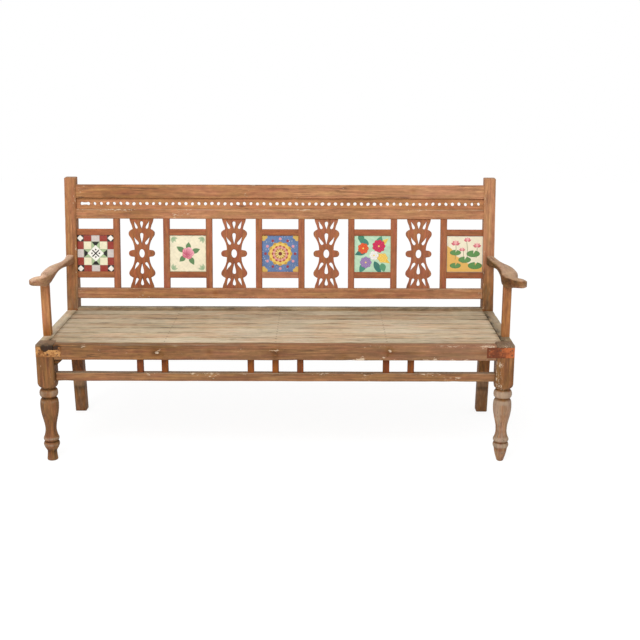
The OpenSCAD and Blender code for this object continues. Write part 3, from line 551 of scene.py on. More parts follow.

# %% [markdown]
# Seven slats make the seat. Their tops are bleached by the sun; they are lighter at the front and
# darker towards the back, and a little crowned by wear. Dirt has darkened their joints and their sawn
# ends. The first slat is notched round the front legs' blocks, so its low side is pushed back beside a leg.

# %% Seat slats
LEG_X, LEG_W = 809.0, 66.0
SLAT_UPPER, CROWN = 450, 0.5
# Spots on each slat, as x, radius and strength: small dark marks, and broad painted light and shade, mostly
# darker at the left end
SLAT_SPOTS = [
    [(-160, 9, -1.6), (-840, 150, -1.1), (-640, 200, -0.8), (560, 330, -0.75), (0, 300, -0.35)],
    [(-820, 110, -0.9), (-600, 180, -0.25)],
    [(240, 7, -1.5), (-780, 100, -0.6), (-520, 260, -0.45), (480, 280, 0.3)],
    [(-560, 10, -1.2), (-560, 260, -0.45), (520, 300, 0.45)],
    [(-600, 240, -0.3), (520, 300, 0.35)],
    [(-300, 12, -1.6)],
    [],
]
SLAT_TINTS = (0.05, -0.2, 0.1, -0.1, 0.15, -0.25, 0.1)
SLAT_AGES = (0.04, -0.04, 0.06, -0.02, 0.04, -0.06, 0.03)
for k, slat_spots in enumerate(SLAT_SPOTS):
    low, high = reach(f"seat_slat_{k + 1}")
    knots_and_shading = [(x, (low[1] + high[1]) / 2 + 8, SEAT_TOP, radius, a) for x, radius, a in slat_spots]
    slat = board(
        low, high, seed=30 + k, edge=2.6, uneven=0.5, step=13, chips=5, knots_and_shading=knots_and_shading,
        tint=0.75 - 0.155 * k + SLAT_TINTS[k], paint=[(-800, low[1] + 30, SEAT_TOP, 40, 0.5)],
    )
    p = slat["points"]
    if k == 0:
        free = (high[1] - LEG_W - 1) / (high[1] - low[1])
        p[:, 1] = np.where(abs(p[:, 0]) > LEG_X - 1, high[1] - (high[1] - p[:, 1]) * free, p[:, 1])
    crown = (p[:, 1] - (low[1] + high[1]) / 2) / (high[1] - low[1]) * 2
    p[:, 2] -= np.where(p[:, 2] > SLAT_UPPER, CROWN * crown**2, 0)
    from_joint, from_end = (1 - abs(crown)) * (high[1] - low[1]) / 2, high[0] - abs(p[:, 0])
    joint = np.exp(-((from_joint / 6) ** 2)) * (0.8 + 0.6 * waver(p[:, 0], 50 + k, 400))
    end = np.exp(-((from_end / 8) ** 2)) * (0.8 + 0.6 * waver(p[:, 1], 60 + k, 50))
    slat["tint"][:, 0] -= 1.3 * joint + 1.4 * end
    slat["age"][:, 0] += SLAT_AGES[k] + 0.12 * waver(p[:, 0], 55 + k, 600)
    place(f"slat_{k + 1}", slat, grey, "teak_grey", f"seat_slat_{k + 1}")
first, last = reach("seat_slat_1")[0][1], reach("seat_slat_7")[1][1]
print(len(SLAT_SPOTS), "slats, from y =", round(float(first), 1), "to", round(float(last), 1))

# %% [markdown]
# A back post is one plank on edge: upright at the seat, leaning above it, and splayed back below
# it for the rear leg. It is a board along Z whose front and back faces follow two broken lines, so
# the grid's depth is looked up from the height.

# %% Back posts
POST_X, POST_DEEP, POST_TOP = (829, 875), 60, 990
BENDS = [0, 399, SEAT_TOP, POST_TOP]
FRONT_LINE, BACK_LINE = [587, 532, 532, 602.3], [633, 592, 592, 644.3]
FADE_FROM, FADE = 470, 140
DAMP_TOP, GREY_BAND, DARK_LINE = 165, 130, 108
POST_PAINT = [(470, 14, 0.8), (610, 12, 0.7), (905, 40, 0.6), (700, 16, 0.8), (560, 12, 0.7)]


def back_post(seed, tint, low_tint, under):
    """A board along Z whose depth at each height runs from the front line to the back line.

    low_tint is its tint near the seat, and under darkens the leg with painted shade below the seat,
    where the seat also keeps rain and sun off, so the leg greys less.
    The foot is greyer up to where damp rises, with a grey band and a dark line near its top."""
    low, high = [POST_X[0], 0, 0], [POST_X[1], POST_DEEP, POST_TOP]
    paint = at_depth(0, *((POST_X[0], *spot) for spot in POST_PAINT))
    solid = board(low, high, 2, 3.2, seed=seed, step=9, chips=6, tint=tint, paint=paint)
    p = solid["points"]
    z = p[:, 2].copy()
    front, back = np.interp(z, BENDS, FRONT_LINE), np.interp(z, BENDS, BACK_LINE)
    p[:, 1] = front + (back - front) * p[:, 1] / POST_DEEP
    near_seat = np.exp(-(np.maximum(z - FADE_FROM, 0) / FADE) ** 2)
    leg = np.clip((SEAT_TOP - z) / 60, 0, 1)
    dry = np.clip((z - DAMP_TOP) / 30, 0, 1)
    # Below the seat the leg is darker, and under lays painted shade of the seat over it
    solid["tint"][:, 0] += (low_tint - tint) * near_seat - (low_tint + 1.4) * leg - under * dry * leg
    grey_foot = 0.3 * np.clip((DAMP_TOP - z) / 20, 0, 1)
    solid["age"][:, 0] += 0.3 * near_seat * (z > SEAT_TOP) + grey_foot - 0.35 * leg * dry
    solid["age"][:, 0] += 0.35 * np.exp(-(((z - GREY_BAND) / 16) ** 2))
    solid["tint"][:, 0] -= 1.3 * np.exp(-(((z - DARK_LINE) / 6) ** 2))
    return solid


place("post_right", back_post(41, 0.0, -1.8, 0.35), brown, "teak_brown", "back_post_right")
place("post_left", mirrored(back_post(42, -0.8, -1.2, 1.0)), brown, "teak_brown", "back_post_left")
print("posts stand from z = 0 to", POST_TOP)

# %% [markdown]
# Each front leg was turned on a lathe from a square baulk: foot, ankle, a long swelling and a ring,
# with the square block left at the top. Its radius is a function of height and angle: the turned
# profile below the block, and above it the smaller of a square and a bowl, which rounds the block's
# lower end as the lathe tool does.

# %% Front legs
TURN_R, BLOCK_LOW, BLOCK_HALF = 34.0, 287.0, 32.8
SQUARENESS, EASED = 14, 3
LEG_MID = np.array([842.0, 33.0])
BOWL_Z = [BLOCK_LOW, 289, 291, 296, 301, 311, 321, 340]
BOWL_R = [27.2, 30.5, 33, 36.6, 39.6, 44.8, 49.5, 60]


def turned_profile(foot_r, ankle_r):
    """Radius and height up the turned part: smooth curves, with a narrow groove between each two."""
    r = TURN_R
    foot = along(
        [
            [foot_r - 2, 0], [foot_r, 4], [ankle_r, 34], [r * 0.73, 50], [r * 0.84, 60], [r * 0.86, 66],
            [r * 0.82, 72],
        ]
    )
    flare = along(
        [
            [r * 0.78, 79], [r * 0.85, 84], [r * 0.84, 90], [r * 0.73, 98], [r * 0.63, 112],
            [r * 0.61, 126], [r * 0.66, 145], [r * 0.84, 172], [r * 0.97, 198], [r, 216], [r * 0.99, 229],
            [r * 0.94, 238], [r * 0.86, 243],
        ]
    )
    ring = along([[r * 0.86, 251], [r * 0.96, 256], [r, 265], [r * 0.96, 274], [r * 0.86, 279]])
    low_groove, high_groove = [r * 0.7, 75.5], [r * 0.75, 247]
    neck = [[r * 0.75, 283], [r * 0.82, BLOCK_LOW]]
    return np.vstack([foot, low_groove, flare, high_groove, ring, neck])


def front_leg(foot_r, ankle_r, seed, tint, turned, knots_and_shading, paint):
    """A lathe grid: at each height and angle the radius is the turning's, or the block's.

    The block's is the smaller of a square and a bowl. The square is a superellipse: its half width
    over (cosine to a high power plus sine to the same power), to one over that power. turned gives
    the turned part's tint and age. Ridges are pale and worn; grooves are darker, their old colour
    with painted shade in the hollows."""
    profile = turned_profile(foot_r, ankle_r)
    turned_z, bowl_z = np.linspace(0, BLOCK_LOW, 230), np.linspace(BLOCK_LOW + 1, 325, 20)
    block_z, top_z = np.linspace(330, SEAT_TOP - EASED, 24), SEAT_TOP - EASED * (1 - np.sin(ARC[1:]))
    z = np.concatenate([turned_z, bowl_z, block_z, top_z])
    angle = np.linspace(0, 2 * np.pi, 96, endpoint=False)
    turning = np.interp(z, profile[:, 1], profile[:, 0]) + 0.25 * waver(z, seed, 60)
    turning[:3] -= [1.6, 0.8, 0.2]
    c, s = np.abs(np.cos(angle)), np.abs(np.sin(angle))
    square = BLOCK_HALF / (c**SQUARENESS + s**SQUARENESS) ** (1 / SQUARENESS)
    bowl = np.interp(z, BOWL_Z, BOWL_R)
    drawn_in = EASED - np.sqrt(np.maximum(EASED**2 - (z - SEAT_TOP + EASED) ** 2, 0))
    top_in = np.where(z > SEAT_TOP - EASED, drawn_in, 0)
    block = np.minimum(square, bowl[:, None]) - top_in[:, None]
    radius = np.where(z[:, None] < BLOCK_LOW + 0.5, turning[:, None], block)
    x, y = LEG_MID[0] + radius * np.cos(angle), LEG_MID[1] + radius * np.sin(angle)
    grid = np.stack([x, y, z[:, None] + 0 * radius], -1)
    relief = turning - np.convolve(np.pad(turning, 12, "edge"), np.ones(25) / 25, "valid")
    relief = np.where(z < BLOCK_LOW, relief / 2.5, 0)[:, None] + 0 * radius
    ridge, groove = np.clip(relief, 0, 1), np.clip(-relief, 0, 1)
    from_corner = LEG_W / 2 * (1 - np.minimum(c, s) / np.maximum(c, s))
    corner = np.exp(-from_corner / EASED)
    wear = np.maximum(ridge, np.where(z[:, None] < 300, 0, corner))
    grain = np.stack([grid[..., 2], grid[..., 0], grid[..., 1]], -1) * MM + seed * 0.37
    low = np.clip((300 - z) / 30, 0, 1)[:, None]
    slow, top = waver(z, seed + 3, 200)[:, None], np.exp(-(((z - SEAT_TOP) / 5) ** 2))[:, None]
    # Grooves darker: their old colour and painted shade in the hollow
    shade = tint + low * turned[0] + 0.6 * ridge - 1.5 * groove + 0.2 * slow
    shade = shade + spots(grid, knots_and_shading) - 0.2 * top
    foot = np.exp(-((z / 45) ** 2))[:, None]
    age = low * turned[1] + 0.35 * ridge - 0.2 * groove + 1.2 * top - 0.25 * foot
    return tube(grid, grain=grain, wear=wear, tint=shade, age=age, paint=spots(grid, paint))


# Darker wood in the brass plate's torn notch
notch_darkening = at_depth(
    0, (842, 443, 14, -2.4), (822, 442, 14, -2.6), (811, 443, 10, -2.4), (856, 444, 8, -1.4),
)
# Pale flecks, and a thin pale line along the block's top edge above the brass: a painted highlight
flecks_and_highlight = at_depth(
    0, (846, 450.5, 12, 1.3, 7), (826, 450.5, 12, 1.3, 7), (830, 340, 7, 0.9), (858, 375, 6, 0.8),
)
left_leg = front_leg(20, 17.5, 51, -0.85, (0.2, -0.05), notch_darkening, flecks_and_highlight)
# Pale flecks, and a long flat one along the block's top edge above the copper: a painted highlight
chips = [
    (812, 6, 385, 24, 0.9), (812, 6, 335, 26, 0.9), (822, 4, 300, 16, 0.9), (838, 2, 285, 12, 0.7),
    (842, 0, 452, 40, 0.9, 4), (824, 0, 384, 7, 0.9),
]
right_leg = front_leg(13, 22, 52, -0.8, (1.6, 0.3), (), chips)
place("leg_left", mirrored(left_leg), rail_brown, "teak_brown", "front_leg_left")
place("leg_right", right_leg, rail_brown, "teak_brown", "front_leg_right")
print("a leg has", len(right_leg["quads"]), "faces")

# %% [markdown]
# Below the apron a stretcher ties the front legs, with seven short spindles up to the apron, and a
# small knee block in the left corner. The spindles are one CAD node, so they are one piece here.

# %% Stretcher, spindles and knee block
low, high = reach("front_stretcher")
STRETCHER_Y, SPINDLE_X = 18, [-498, -407, -91, 0, 91, 407, 498]
stretcher_paint = at_depth(
    STRETCHER_Y, (-467, 341, 8, 1.3), (675, 331, 10, 1.3), (-235, 345, 26, 1.0), (-300, 345, 14, 1.0),
    (330, 340, 22, 0.7), (180, 346, 40, 0.8, 3), (560, 346, 50, 0.8, 3), (640, 322, 24, 0.8, 2),
)
stretcher = board(low, high, seed=61, edge=3, trim=26, chips=8, tint=-0.05, paint=stretcher_paint)
# The top face is greyer: a painted highlight along the lit top edge
stretcher["age"][:, 0] += 0.9 * (stretcher["points"][:, 2] > high[2] - 1.5)
place("stretcher", stretcher, rail_brown, "teak_brown", "front_stretcher")
spindles = [
    board([x - 12, 22, 344], [x + 12, 40, 400], 2, 1.5, seed=70 + k, step=9, tint=-1.5)
    for k, x in enumerate(SPINDLE_X)
]
place("spindles", joined(spindles), russet, "teak_brown", "stretcher_spindles")


def knee():
    """The block's outline in x and z, carried along y, with its first and last rings drawn in."""
    corners = np.array([[-782, 399], [-809, 399], [-809, 376], [-802, 376], [-782, 394]], float)
    sides = zip(corners, np.roll(corners, -1, 0))
    outline = np.concatenate([np.linspace(a, b, 6, endpoint=False) for a, b in sides])
    depth, shrink = np.array([9, 9.4, 10.5, 27.5, 28.6, 29]), np.array([1.2, 0.4, 0, 0, 0.4, 1.2])
    middle = outline.mean(0)
    flat = outline[None] - shrink[:, None, None] * (outline - middle) / 12
    grid = np.stack([flat[..., 0], depth[:, None] + 0 * flat[..., 0], flat[..., 1]], -1)
    zero = np.zeros(grid.shape[:2])
    # The whole block is darkened: painted shade under the apron
    return tube(grid[:, ::-1], grain=grid[:, ::-1] * MM, wear=zero + 0.3, tint=zero - 2.4, paint=zero)


place("knee", knee(), rail_brown, "teak_brown", "knee_block")
print("stretcher,", len(SPINDLE_X), "spindles, knee block")

# %% [markdown]
# Each arm was sawn from a plank and shaped by hand. It is narrow at its post and at its middle,
# spreads to a palm over its support and curls out to a blunt nose. Its plan has an inner and an
# outer edge, its side view an underside and a top, all smooth curves. A ring joins one point of the
# inner edge to its partner on the outer edge, and the grid of rings is the arm.

# %% Arms
ARM_LOW, ARM_T, SUPPORT_Y, END_X = 648.0, 52.0, 140.0, 875.0
ARM_REAR = SEAT_DEPTH + (ARM_LOW + 16 - SEAT_TOP) * math.tan(RAKE)
INTO_POST, NOSE = 20, 26


def run(share):
    """Depth of a station between the support (0) and the post (1)."""
    return SUPPORT_Y + share * (ARM_REAR - SUPPORT_Y)


def arm(out, ahead, palm, middle, soft, blunt, shadow, seed, tint, knots_and_shading, cut=()):
    """An arm of the right side: out and ahead say how far its nose reaches, palm and middle its width.

    soft gives the radius of its edges from the palm on: outer top, inner top, inner bottom, outer bottom.
    blunt is the share of its height that the nose loses at its end, shadow darkens its inner side, and
    cut gives spots of fresher wood. A cross section is a rectangle with round corners, as a board's is,
    and it spans from the inner curve to the outer one."""
    inmost, notch, sway, swell = -39.0, 13.0, 16, 15

    def tip(across, forward):
        return [inmost + across * (out - inmost), SUPPORT_Y - forward * ahead]

    def front(forward):
        return SUPPORT_Y - forward * ahead

    def outer(share):
        return palm - sway * (1 - share)

    def inner(share, wider):
        return outer(share) - middle - swell * wider

    inner_edge = [
        [-32, ARM_REAR + INTO_POST], [-32, run(1)], [-31, run(0.8)], [inner(0.3, 0), run(0.6)],
        [inner(0.75, 0.57), run(0.42)], [inner(1, 1), run(0.25)],
    ]
    inner_edge += [
        [(inner(1, 1) + inmost) / 2, run(0.1)], tip(0, 0), tip(0.02, 0.22), tip(0.06, 0.42), tip(0.17, 0.6),
        tip(0.35, 0.79),
    ]
    inner_edge += [tip(0.6, 0.92), tip(0.77, 1), tip(0.9, 0.96), tip(1, 0.86)]
    outer_edge = [
        [-1, ARM_REAR + INTO_POST], [-1, run(1)], [outer(0) * 0.65, run(0.8)], [outer(0.3), run(0.6)],
        [outer(0.75), run(0.42)], [palm, run(0.25)], [palm, run(0.1)],
    ]
    outer_edge += [
        [palm - notch * 0.15, run(0)], [palm - notch * 0.6, front(0.25)], [palm - notch, front(0.43)],
        [palm - notch, front(0.5)],
    ]
    outer_edge += [tip(0.74, 0.57), tip(0.92, 0.63), tip(1, 0.74), tip(1, 0.86)]
    pairs = np.array(
        [
            [0.6, 0.6], [7, 7], [8, 8], [9, 8.9], [10, 9.7], [11, 10.6], [12, 11.5], [13, 12.4], [14, 13.1],
            [14.6, 13.6], [14.9, 13.9], [14.99, 13.98],
        ]
    )
    long_part, palm_part = np.linspace(0, 1, 50, endpoint=False), np.linspace(1, 8, 84, endpoint=False)
    steps = np.concatenate([long_part, palm_part, np.linspace(8, 11, 16)])
    u_in, u_out = (np.interp(steps, np.arange(12), column) for column in pairs.T)
    a, b = spline(inner_edge, u_in), spline(outer_edge, u_out)
    under = along(
        [
            [front(1.1), 24], [front(0.95), 17], [front(0.76), 13], [front(0.58), 9], [front(0.4), 3],
            [front(0.25), 0], [run(0), 0], [run(0.06), 1], [run(0.16), 6], [run(0.3), 13], [run(0.45), 16],
            [run(0.62), 12], [run(0.8), 2], [run(1), -6], [ARM_REAR + INTO_POST, -8],
        ]
    )
    t = ARM_T
    top = along(
        [
            [front(1.1), t * 0.7], [front(0.95), t * 0.83], [front(0.72), t * 0.9], [front(0.5), t * 0.94],
            [front(0.25), t * 0.98], [run(0), t], [run(0.12), t], [run(0.28), t * 0.94],
            [run(0.45), t * 0.83], [run(0.62), t * 0.71], [run(0.8), t * 0.64], [run(1), t * 0.63],
            [ARM_REAR + INTO_POST, t * 0.63],
        ]
    )
    width = np.linalg.norm(b - a, axis=1)
    middle_y = (a[:, 1] + b[:, 1]) / 2
    height = np.interp(middle_y, *top.T) - np.interp(middle_y, *under.T)
    grow = np.interp(steps, [0, 0.4, 0.8], [0, 0.25, 1])[:, None]
    radius = np.minimum(7 + (np.array(soft) - 7) * grow, 0.46 * np.minimum(width, height)[:, None])
    ring, away = rounded(width, height, radius)
    inward = np.clip(-10 * ring[..., 0] / width[:, None] - 4, 0, 1)
    inner_side = inward * np.clip(4 - 8 * ring[..., 1] / height[:, None], 0, 1)
    share = (ring[..., 0] / width[:, None] + 0.5)[..., None]
    plan = a[:, None] + (b - a)[:, None] * share
    # The nose rounds off: over its last stretch it loses height along a quarter ellipse
    near = np.clip(1 - (out - plan[..., 0]) / NOSE, 0, 1) * (plan[..., 1] < SUPPORT_Y)
    ring[..., 1] *= 1 - blunt * (1 - np.sqrt(1 - near**2))
    base = ARM_LOW + (np.interp(plan[..., 1], *under.T) + np.interp(plan[..., 1], *top.T)) / 2
    crown = 0.8 * (1 - (2 * share[..., 0] - 1) ** 2) - 0.8
    height_at = base + ring[..., 1] + crown * (ring[..., 1] > 0)
    grid = np.stack([END_X + plan[..., 0], plan[..., 1], height_at], -1)
    middle_line = (a + b) / 2
    length = np.concatenate([[0], np.cumsum(np.linalg.norm(np.diff(middle_line, axis=0), axis=1))])
    fibres = np.stack([-grid[..., 1] + 0.3 * grid[..., 0], grid[..., 0], grid[..., 2]], -1)
    grain = fibres * MM + seed * 0.53
    wear = np.exp(-away / 4) * (0.6 + 0.4 * waver(length, seed, 120)[:, None])
    shade = tint + 0.15 * waver(length, seed + 1, 200)[:, None] - shadow * inner_side + spots(grid, knots_and_shading)
    fresh = spots(grid, cut)
    return tube(grid, grain=grain, wear=wear, tint=shade + 2.2 * fresh, age=-0.6 * fresh, paint=0 * shade)


# Painted shade under the left nose and on each notch's wall below the palm's overhang; a small knot on the
# right
left_arm_shade = [(894, 50, 660, 24, -1.3), (866, 96, 690, 9, -1.0)]
right_arm_knot_and_shade = [(885, 130, 700, 7, -0.4), (886, 98, 690, 9, -0.8)]
left_arm = arm(
    out=20, ahead=100, palm=1, middle=22, soft=(17, 22, 20, 18), blunt=0.62, shadow=0.45, seed=81,
    tint=0.65, knots_and_shading=left_arm_shade,
)
right_arm = arm(
    out=38, ahead=118, palm=24, middle=38, soft=(9, 6, 18, 16), blunt=0.4, shadow=1.3, seed=82, tint=-0.7,
    knots_and_shading=right_arm_knot_and_shade, cut=[(905, 26, 668, 20, 1.0)],
)
place("arm_rest_left", mirrored(left_arm), tan, "teak_grey", "arm_left")
place("arm_rest_right", right_arm, tan, "teak_grey", "arm_right")
SUPPORT_SHADES = {"left": (-860, 125, 462, 26, -1.2), "right": (860, 125, 560, 200, -0.2)}
for seed, (name, shade) in enumerate(SUPPORT_SHADES.items(), 83):
    low, high = reach(f"arm_support_{name}")
    support = board(low, high, 2, 2.5, seed=seed, trim=7, knots_and_shading=[shade])
    place(f"support_{name}", support, amber, "teak_amber", f"arm_support_{name}")
noses = [round(float(solid["points"][:, 0].max()), 1) for solid in (left_arm, right_arm)]
print("the arms' noses reach x =", *noses)

# %% [markdown]
# The back is a leaning frame: three long rails between the posts, short muntins between the two
# lower rails, and a head and a sill round each tile. All are boards, worked out upright and leaned.
# The muntins and tile frames are of a redder wood than the long rails, and less weathered.

# %% Rails and muntins of the back
TENON, RAIL_FACE, MUNTIN_Y = 7, 3, (6, 28)
MUNTINS, TILES = 8, 5
# Each long rail's tint, its age towards the ends, its spots (small dark knots, and broad painted shade at
# the left end and painted light at the right) and its old paint
LONG_RAILS = {
    "top_rail": (
        -0.3, 0.02, [(-750, 490, 420, -0.6), (650, 490, 400, 0.5), (540, 490, 12, -0.7)],
        [
            (-110, 512, 13, 1.1), (-140, 470, 12, 0.9), (250, 500, 10, 1.1), (60, 492, 7, 0.9),
            (-815, 490, 26, 0.8),
        ],
    ),
    "middle_rail": (
        -0.15, 0.1, [(-750, 390, 400, -0.4)],
        [
            (-660, 411, 90, 1.1, 10), (-385, 396, 46, 0.8, 2), (-440, 388, 16, 0.8, 2),
            (90, 411, 60, 0.9, 9), (-60, 408, 36, 0.9, 6), (560, 410, 60, 0.8, 8), (-815, 395, 16, 0.8),
        ],
    ),
    "lower_back_rail": (
        -0.3, 0.14, [(-750, 70, 420, -0.25), (750, 70, 420, 0.15), (-262, 70, 9, -1.4)],
        [
            (-100, 56, 14, 0.8, 2), (60, 52, 14, 0.9, 2), (822, 62, 16, 1.1), (-822, 70, 14, 1.0),
            (-560, 62, 50, 0.6, 3),
        ],
    ),
}
for k, (node, (tint, end_age, knots_and_shading, paint)) in enumerate(LONG_RAILS.items()):
    low, high = reach(node, True)
    ages = at_depth(RAIL_FACE, *((x, low[2], 520, end_age) for x in (-800, 800)))
    rail = board(
        low, high, seed=90 + k, edge=3, trim=22, chips=8, tint=tint, ages=ages,
        knots_and_shading=at_depth(RAIL_FACE, *knots_and_shading), paint=at_depth(RAIL_FACE, *paint),
    )
    place(node + "_wood", rail, brown, "teak_brown", node, lean=True)
for k in range(MUNTINS):
    low, high = reach(f"muntin_{k + 1}", True)
    low[1], high[1] = MUNTIN_Y
    muntin = board(low, high, 2, 2, seed=100 + k, trim=6, step=10, paint=[(high[0], 6, 150, 14, 0.5)])
    place(f"muntin_{k + 1}_wood", muntin, russet, "teak_russet", f"muntin_{k + 1}", lean=True)
for k in range(TILES):
    for below, part in enumerate(("head", "sill")):
        low, high = reach(f"tile_{part}_{k + 1}", True)
        bleached = (k, part) == (2, "sill")
        tint = 0.5 if bleached else -0.15
        piece = board(low, high, seed=120 + 2 * k + below, edge=1.8, trim=6, step=10, tint=tint)
        piece["age"][:, 0] += 0.5 * bleached
        place(f"tile_{part}_{k + 1}_wood", piece, russet, "teak_russet", f"tile_{part}_{k + 1}", lean=True)
low, high = reach("muntin_1", True)
INFILL = [low[2] + TENON, high[2] - TENON]
print("the infill runs from", *np.round(INFILL, 1), "mm up the back")

# %% [markdown]
# The splats and the strip with its row of holes are thin boards sawn through with a fretsaw. Their
# faces are flat, so their shape lies in outlines: one round the board, and one for each hole. The
# walls carry each outline over a rounded edge, and triangles fill the faces between the outlines.


# %% Sawn boards
BATCH, SPACING = 400, 0.45


def inside(points, loops):
    """True where a point lies in the wood: a line to its right crosses outlines an odd number of times."""
    odd = np.zeros(len(points), bool)
    for loop in loops:
        a, b = loop, np.roll(loop, -1, 0)
        above = (a[:, 1] > points[:, 1, None]) != (b[:, 1] > points[:, 1, None])
        rise = np.where(b[:, 1] == a[:, 1], 1e-9, b[:, 1] - a[:, 1])
        x = a[:, 0] + (points[:, 1, None] - a[:, 1]) * (b[:, 0] - a[:, 0]) / rise
        odd ^= (above & (x > points[:, 0, None])).sum(1) % 2 == 1
    return odd


def sawn(outline, holes, front, thick, middle, pitch, seed, tint, rim=1.2, paint=()):
    """A flat board sawn to an outline with holes, standing upright with its face at depth front.

    Walls: every outline is carried over a profile that is drawn back into the wood by the rim
    at both faces. Faces: triangles between the drawn-back outlines and a grid of inner points."""
    loops = []
    for k, loop in enumerate([outline, *holes]):
        area = (loop[:, 0] * np.roll(loop[:, 1], -1) - np.roll(loop[:, 0], -1) * loop[:, 1]).sum()
        loops.append(loop if (area > 0) == (k == 0) else loop[::-1])
    turn = np.linspace(np.pi / 2, 0, 4)
    back_in, deep = rim * (1 - np.cos(turn)), rim * (1 - np.sin(turn))
    back_in, deep = np.r_[back_in, back_in[::-1]], np.r_[deep, thick - deep[::-1]]
    rows = len(deep)
    rings, quads, start, wears = [], [], 0, []
    for loop in loops:
        tangent = np.roll(loop, -1, 0) - np.roll(loop, 1, 0)
        normal = np.stack([-tangent[:, 1], tangent[:, 0]], -1) / np.linalg.norm(tangent, axis=1)[:, None]
        flat = loop[:, None] + normal[:, None] * back_in[None, :, None]
        rings.append(np.concatenate([flat, deep[None, :, None] + 0 * flat[..., :1]], -1))
        index = start + np.arange(len(loop) * rows).reshape(len(loop), rows)
        quads.append(grid_quads(np.r_[index, index[:1]]))
        wears.append(np.tile([0.7, 1, 1, 0.5, 0.5, 1, 1, 0.7], (len(loop), 1)))
        start += len(loop) * rows
    rim_ids = [q.reshape(-1, rows - 1, 4)[:, 0, 0] for q in quads]
    edge_ids, walls = np.concatenate(rim_ids), np.concatenate([r.reshape(-1, 3) for r in rings])
    face_rims = [walls[ids, :2] for ids in rim_ids]
    low, high = outline.min(0), outline.max(0)
    across, upward = np.arange(low[0], high[0], pitch), np.arange(low[1], high[1], pitch)
    inner = np.stack(np.meshgrid(across, upward), -1).reshape(-1, 2)
    inner = inner[inside(inner, face_rims)]
    rim_points = np.concatenate(face_rims)
    batches = np.array_split(inner, len(inner) // BATCH + 1)
    away = np.concatenate([np.linalg.norm(rim_points - p[:, None], axis=-1).min(1) for p in batches])
    clear = away > SPACING * pitch
    inner, away = inner[clear], away[clear]
    flat = np.concatenate([rim_points, inner])
    ties, at = [], 0
    for loop in face_rims:
        k = np.arange(len(loop))
        ties.append(np.stack([at + k, at + (k + 1) % len(loop)], -1))
        at += len(loop)
    out = delaunay_2d_cdt([Vector(q) for q in flat], np.concatenate(ties).tolist(), [], 0, 1e-6)
    origin = np.array([ids[0] if ids else -1 for ids in out[3]])
    tris = origin[np.array([f for f in out[2] if len(f) == 3])]
    tris = tris[(tris >= 0).all(1)]
    tris = tris[inside(flat[tris].mean(1), face_rims)]
    area = np.cross(flat[tris[:, 1]] - flat[tris[:, 0]], flat[tris[:, 2]] - flat[tris[:, 0]])
    tris = np.where(area[:, None] > 0, tris, tris[:, ::-1])[abs(area) > 1e-9]
    n, count = len(walls), len(inner)
    front_ids = np.r_[edge_ids, n + np.arange(count)]
    back_ids = np.r_[edge_ids + rows - 1, n + count + np.arange(count)]
    points = np.concatenate([walls, np.c_[inner, np.zeros(count)], np.c_[inner, np.full(count, thick)]])
    wear = np.concatenate([np.concatenate(wears).ravel(), *[np.exp(-away / 2.5)] * 2])[:, None]
    tris = np.concatenate([front_ids[tris], back_ids[tris][:, ::-1]])
    placed = np.stack([points[:, 0] + middle[0], front + points[:, 2], points[:, 1] + middle[1]], -1)
    longest = 0 if high[0] - low[0] > high[1] - low[1] else 1
    grain = points[:, [longest, 1 - longest, 2]] * MM + seed * 0.71
    shade = tint + 0.2 * waver(points[:, longest] + middle[0], seed, 300)[:, None]
    solid = {"points": placed, "quads": np.concatenate(quads), "tris": tris}
    return {**solid, "grain": grain, "wear": wear, "tint": shade, "paint": spots(placed, paint)[:, None]}


square = np.array([[0, 0], [1, 0], [1, 1], [0, 1.0]])
print("a point in a square:", inside(np.array([[0.5, 0.5]]), [square])[0])

# %% [markdown]
# The strip's holes were bored by hand: they waver in size and place, and some neighbours have worn
# into each other. The first two at the left are one long slot now.

# %% Pierced strip
HOLES, HOLE_STEP, END_R = 62, 26.5, 6.5
MERGED = (6, 9)
STRIP_HALF, HOUSED = 832.0, 4
rng = np.random.default_rng(5)
low, high = reach("pierced_strip", True)
mid_h = (low[2] + high[2]) / 2
centres = (np.arange(HOLES) - (HOLES - 1) / 2) * HOLE_STEP
round_turn = np.linspace(0, 2 * np.pi, 18, endpoint=False)
bores = []
for k, x in enumerate(centres[1:]):
    r = rng.uniform(5.9, 6.9)
    stretch = 1.3 if k in MERGED else rng.uniform(0.96, 1.16)
    place_y = rng.uniform(-0.9, 0.9)
    askew = rng.uniform(-0.22, 0.22)
    bore = np.stack([x + r * stretch * np.cos(round_turn - askew), place_y + r * np.sin(round_turn)], -1)
    if k == 0:
        # The first hole opens to its left into a slot, which ends on the arc of the hole before it
        upper, lower = bore[round_turn <= 2.3], bore[round_turn >= 3.98]
        slot, far = np.array([[x - 8, 4.3], [x - 18, 4.4]]), round_turn[3:16]
        end = np.stack([centres[0] + END_R * np.cos(far), END_R * np.sin(far)], -1)
        bore = np.concatenate([upper, slot, end, slot[::-1] * [1, -1], lower])
    bores.append(bore)
half_h = (high[2] - low[2]) / 2 - HOUSED
edge_x = np.linspace(-STRIP_HALF, STRIP_HALF, 110)
lower_edge = np.stack([edge_x, -half_h + 0 * edge_x], -1)
upper_edge = np.stack([edge_x[::-1], half_h + 0 * edge_x], -1)
strip_paint = [(-800, low[1], mid_h, 60, 0.5)]
strip = sawn(
    np.concatenate([lower_edge, upper_edge]), bores, low[1], high[1] - low[1], (0, mid_h), pitch=6,
    seed=131, tint=0.15, paint=strip_paint,
)
place("strip_wood", strip, amber, "teak_amber", "pierced_strip", lean=True)
print("the strip has", len(bores) + 1, "holes and", len(strip["tris"]), "face triangles")

# %% [markdown]
# A splat is the same shape four times over: one quarter of its outline is drawn, from its fan at
# the rail over its lobe and waist to its ear, and then mirrored both ways. Its slots are drops that
# run from a pointed tip to a round end, some of them bowed.


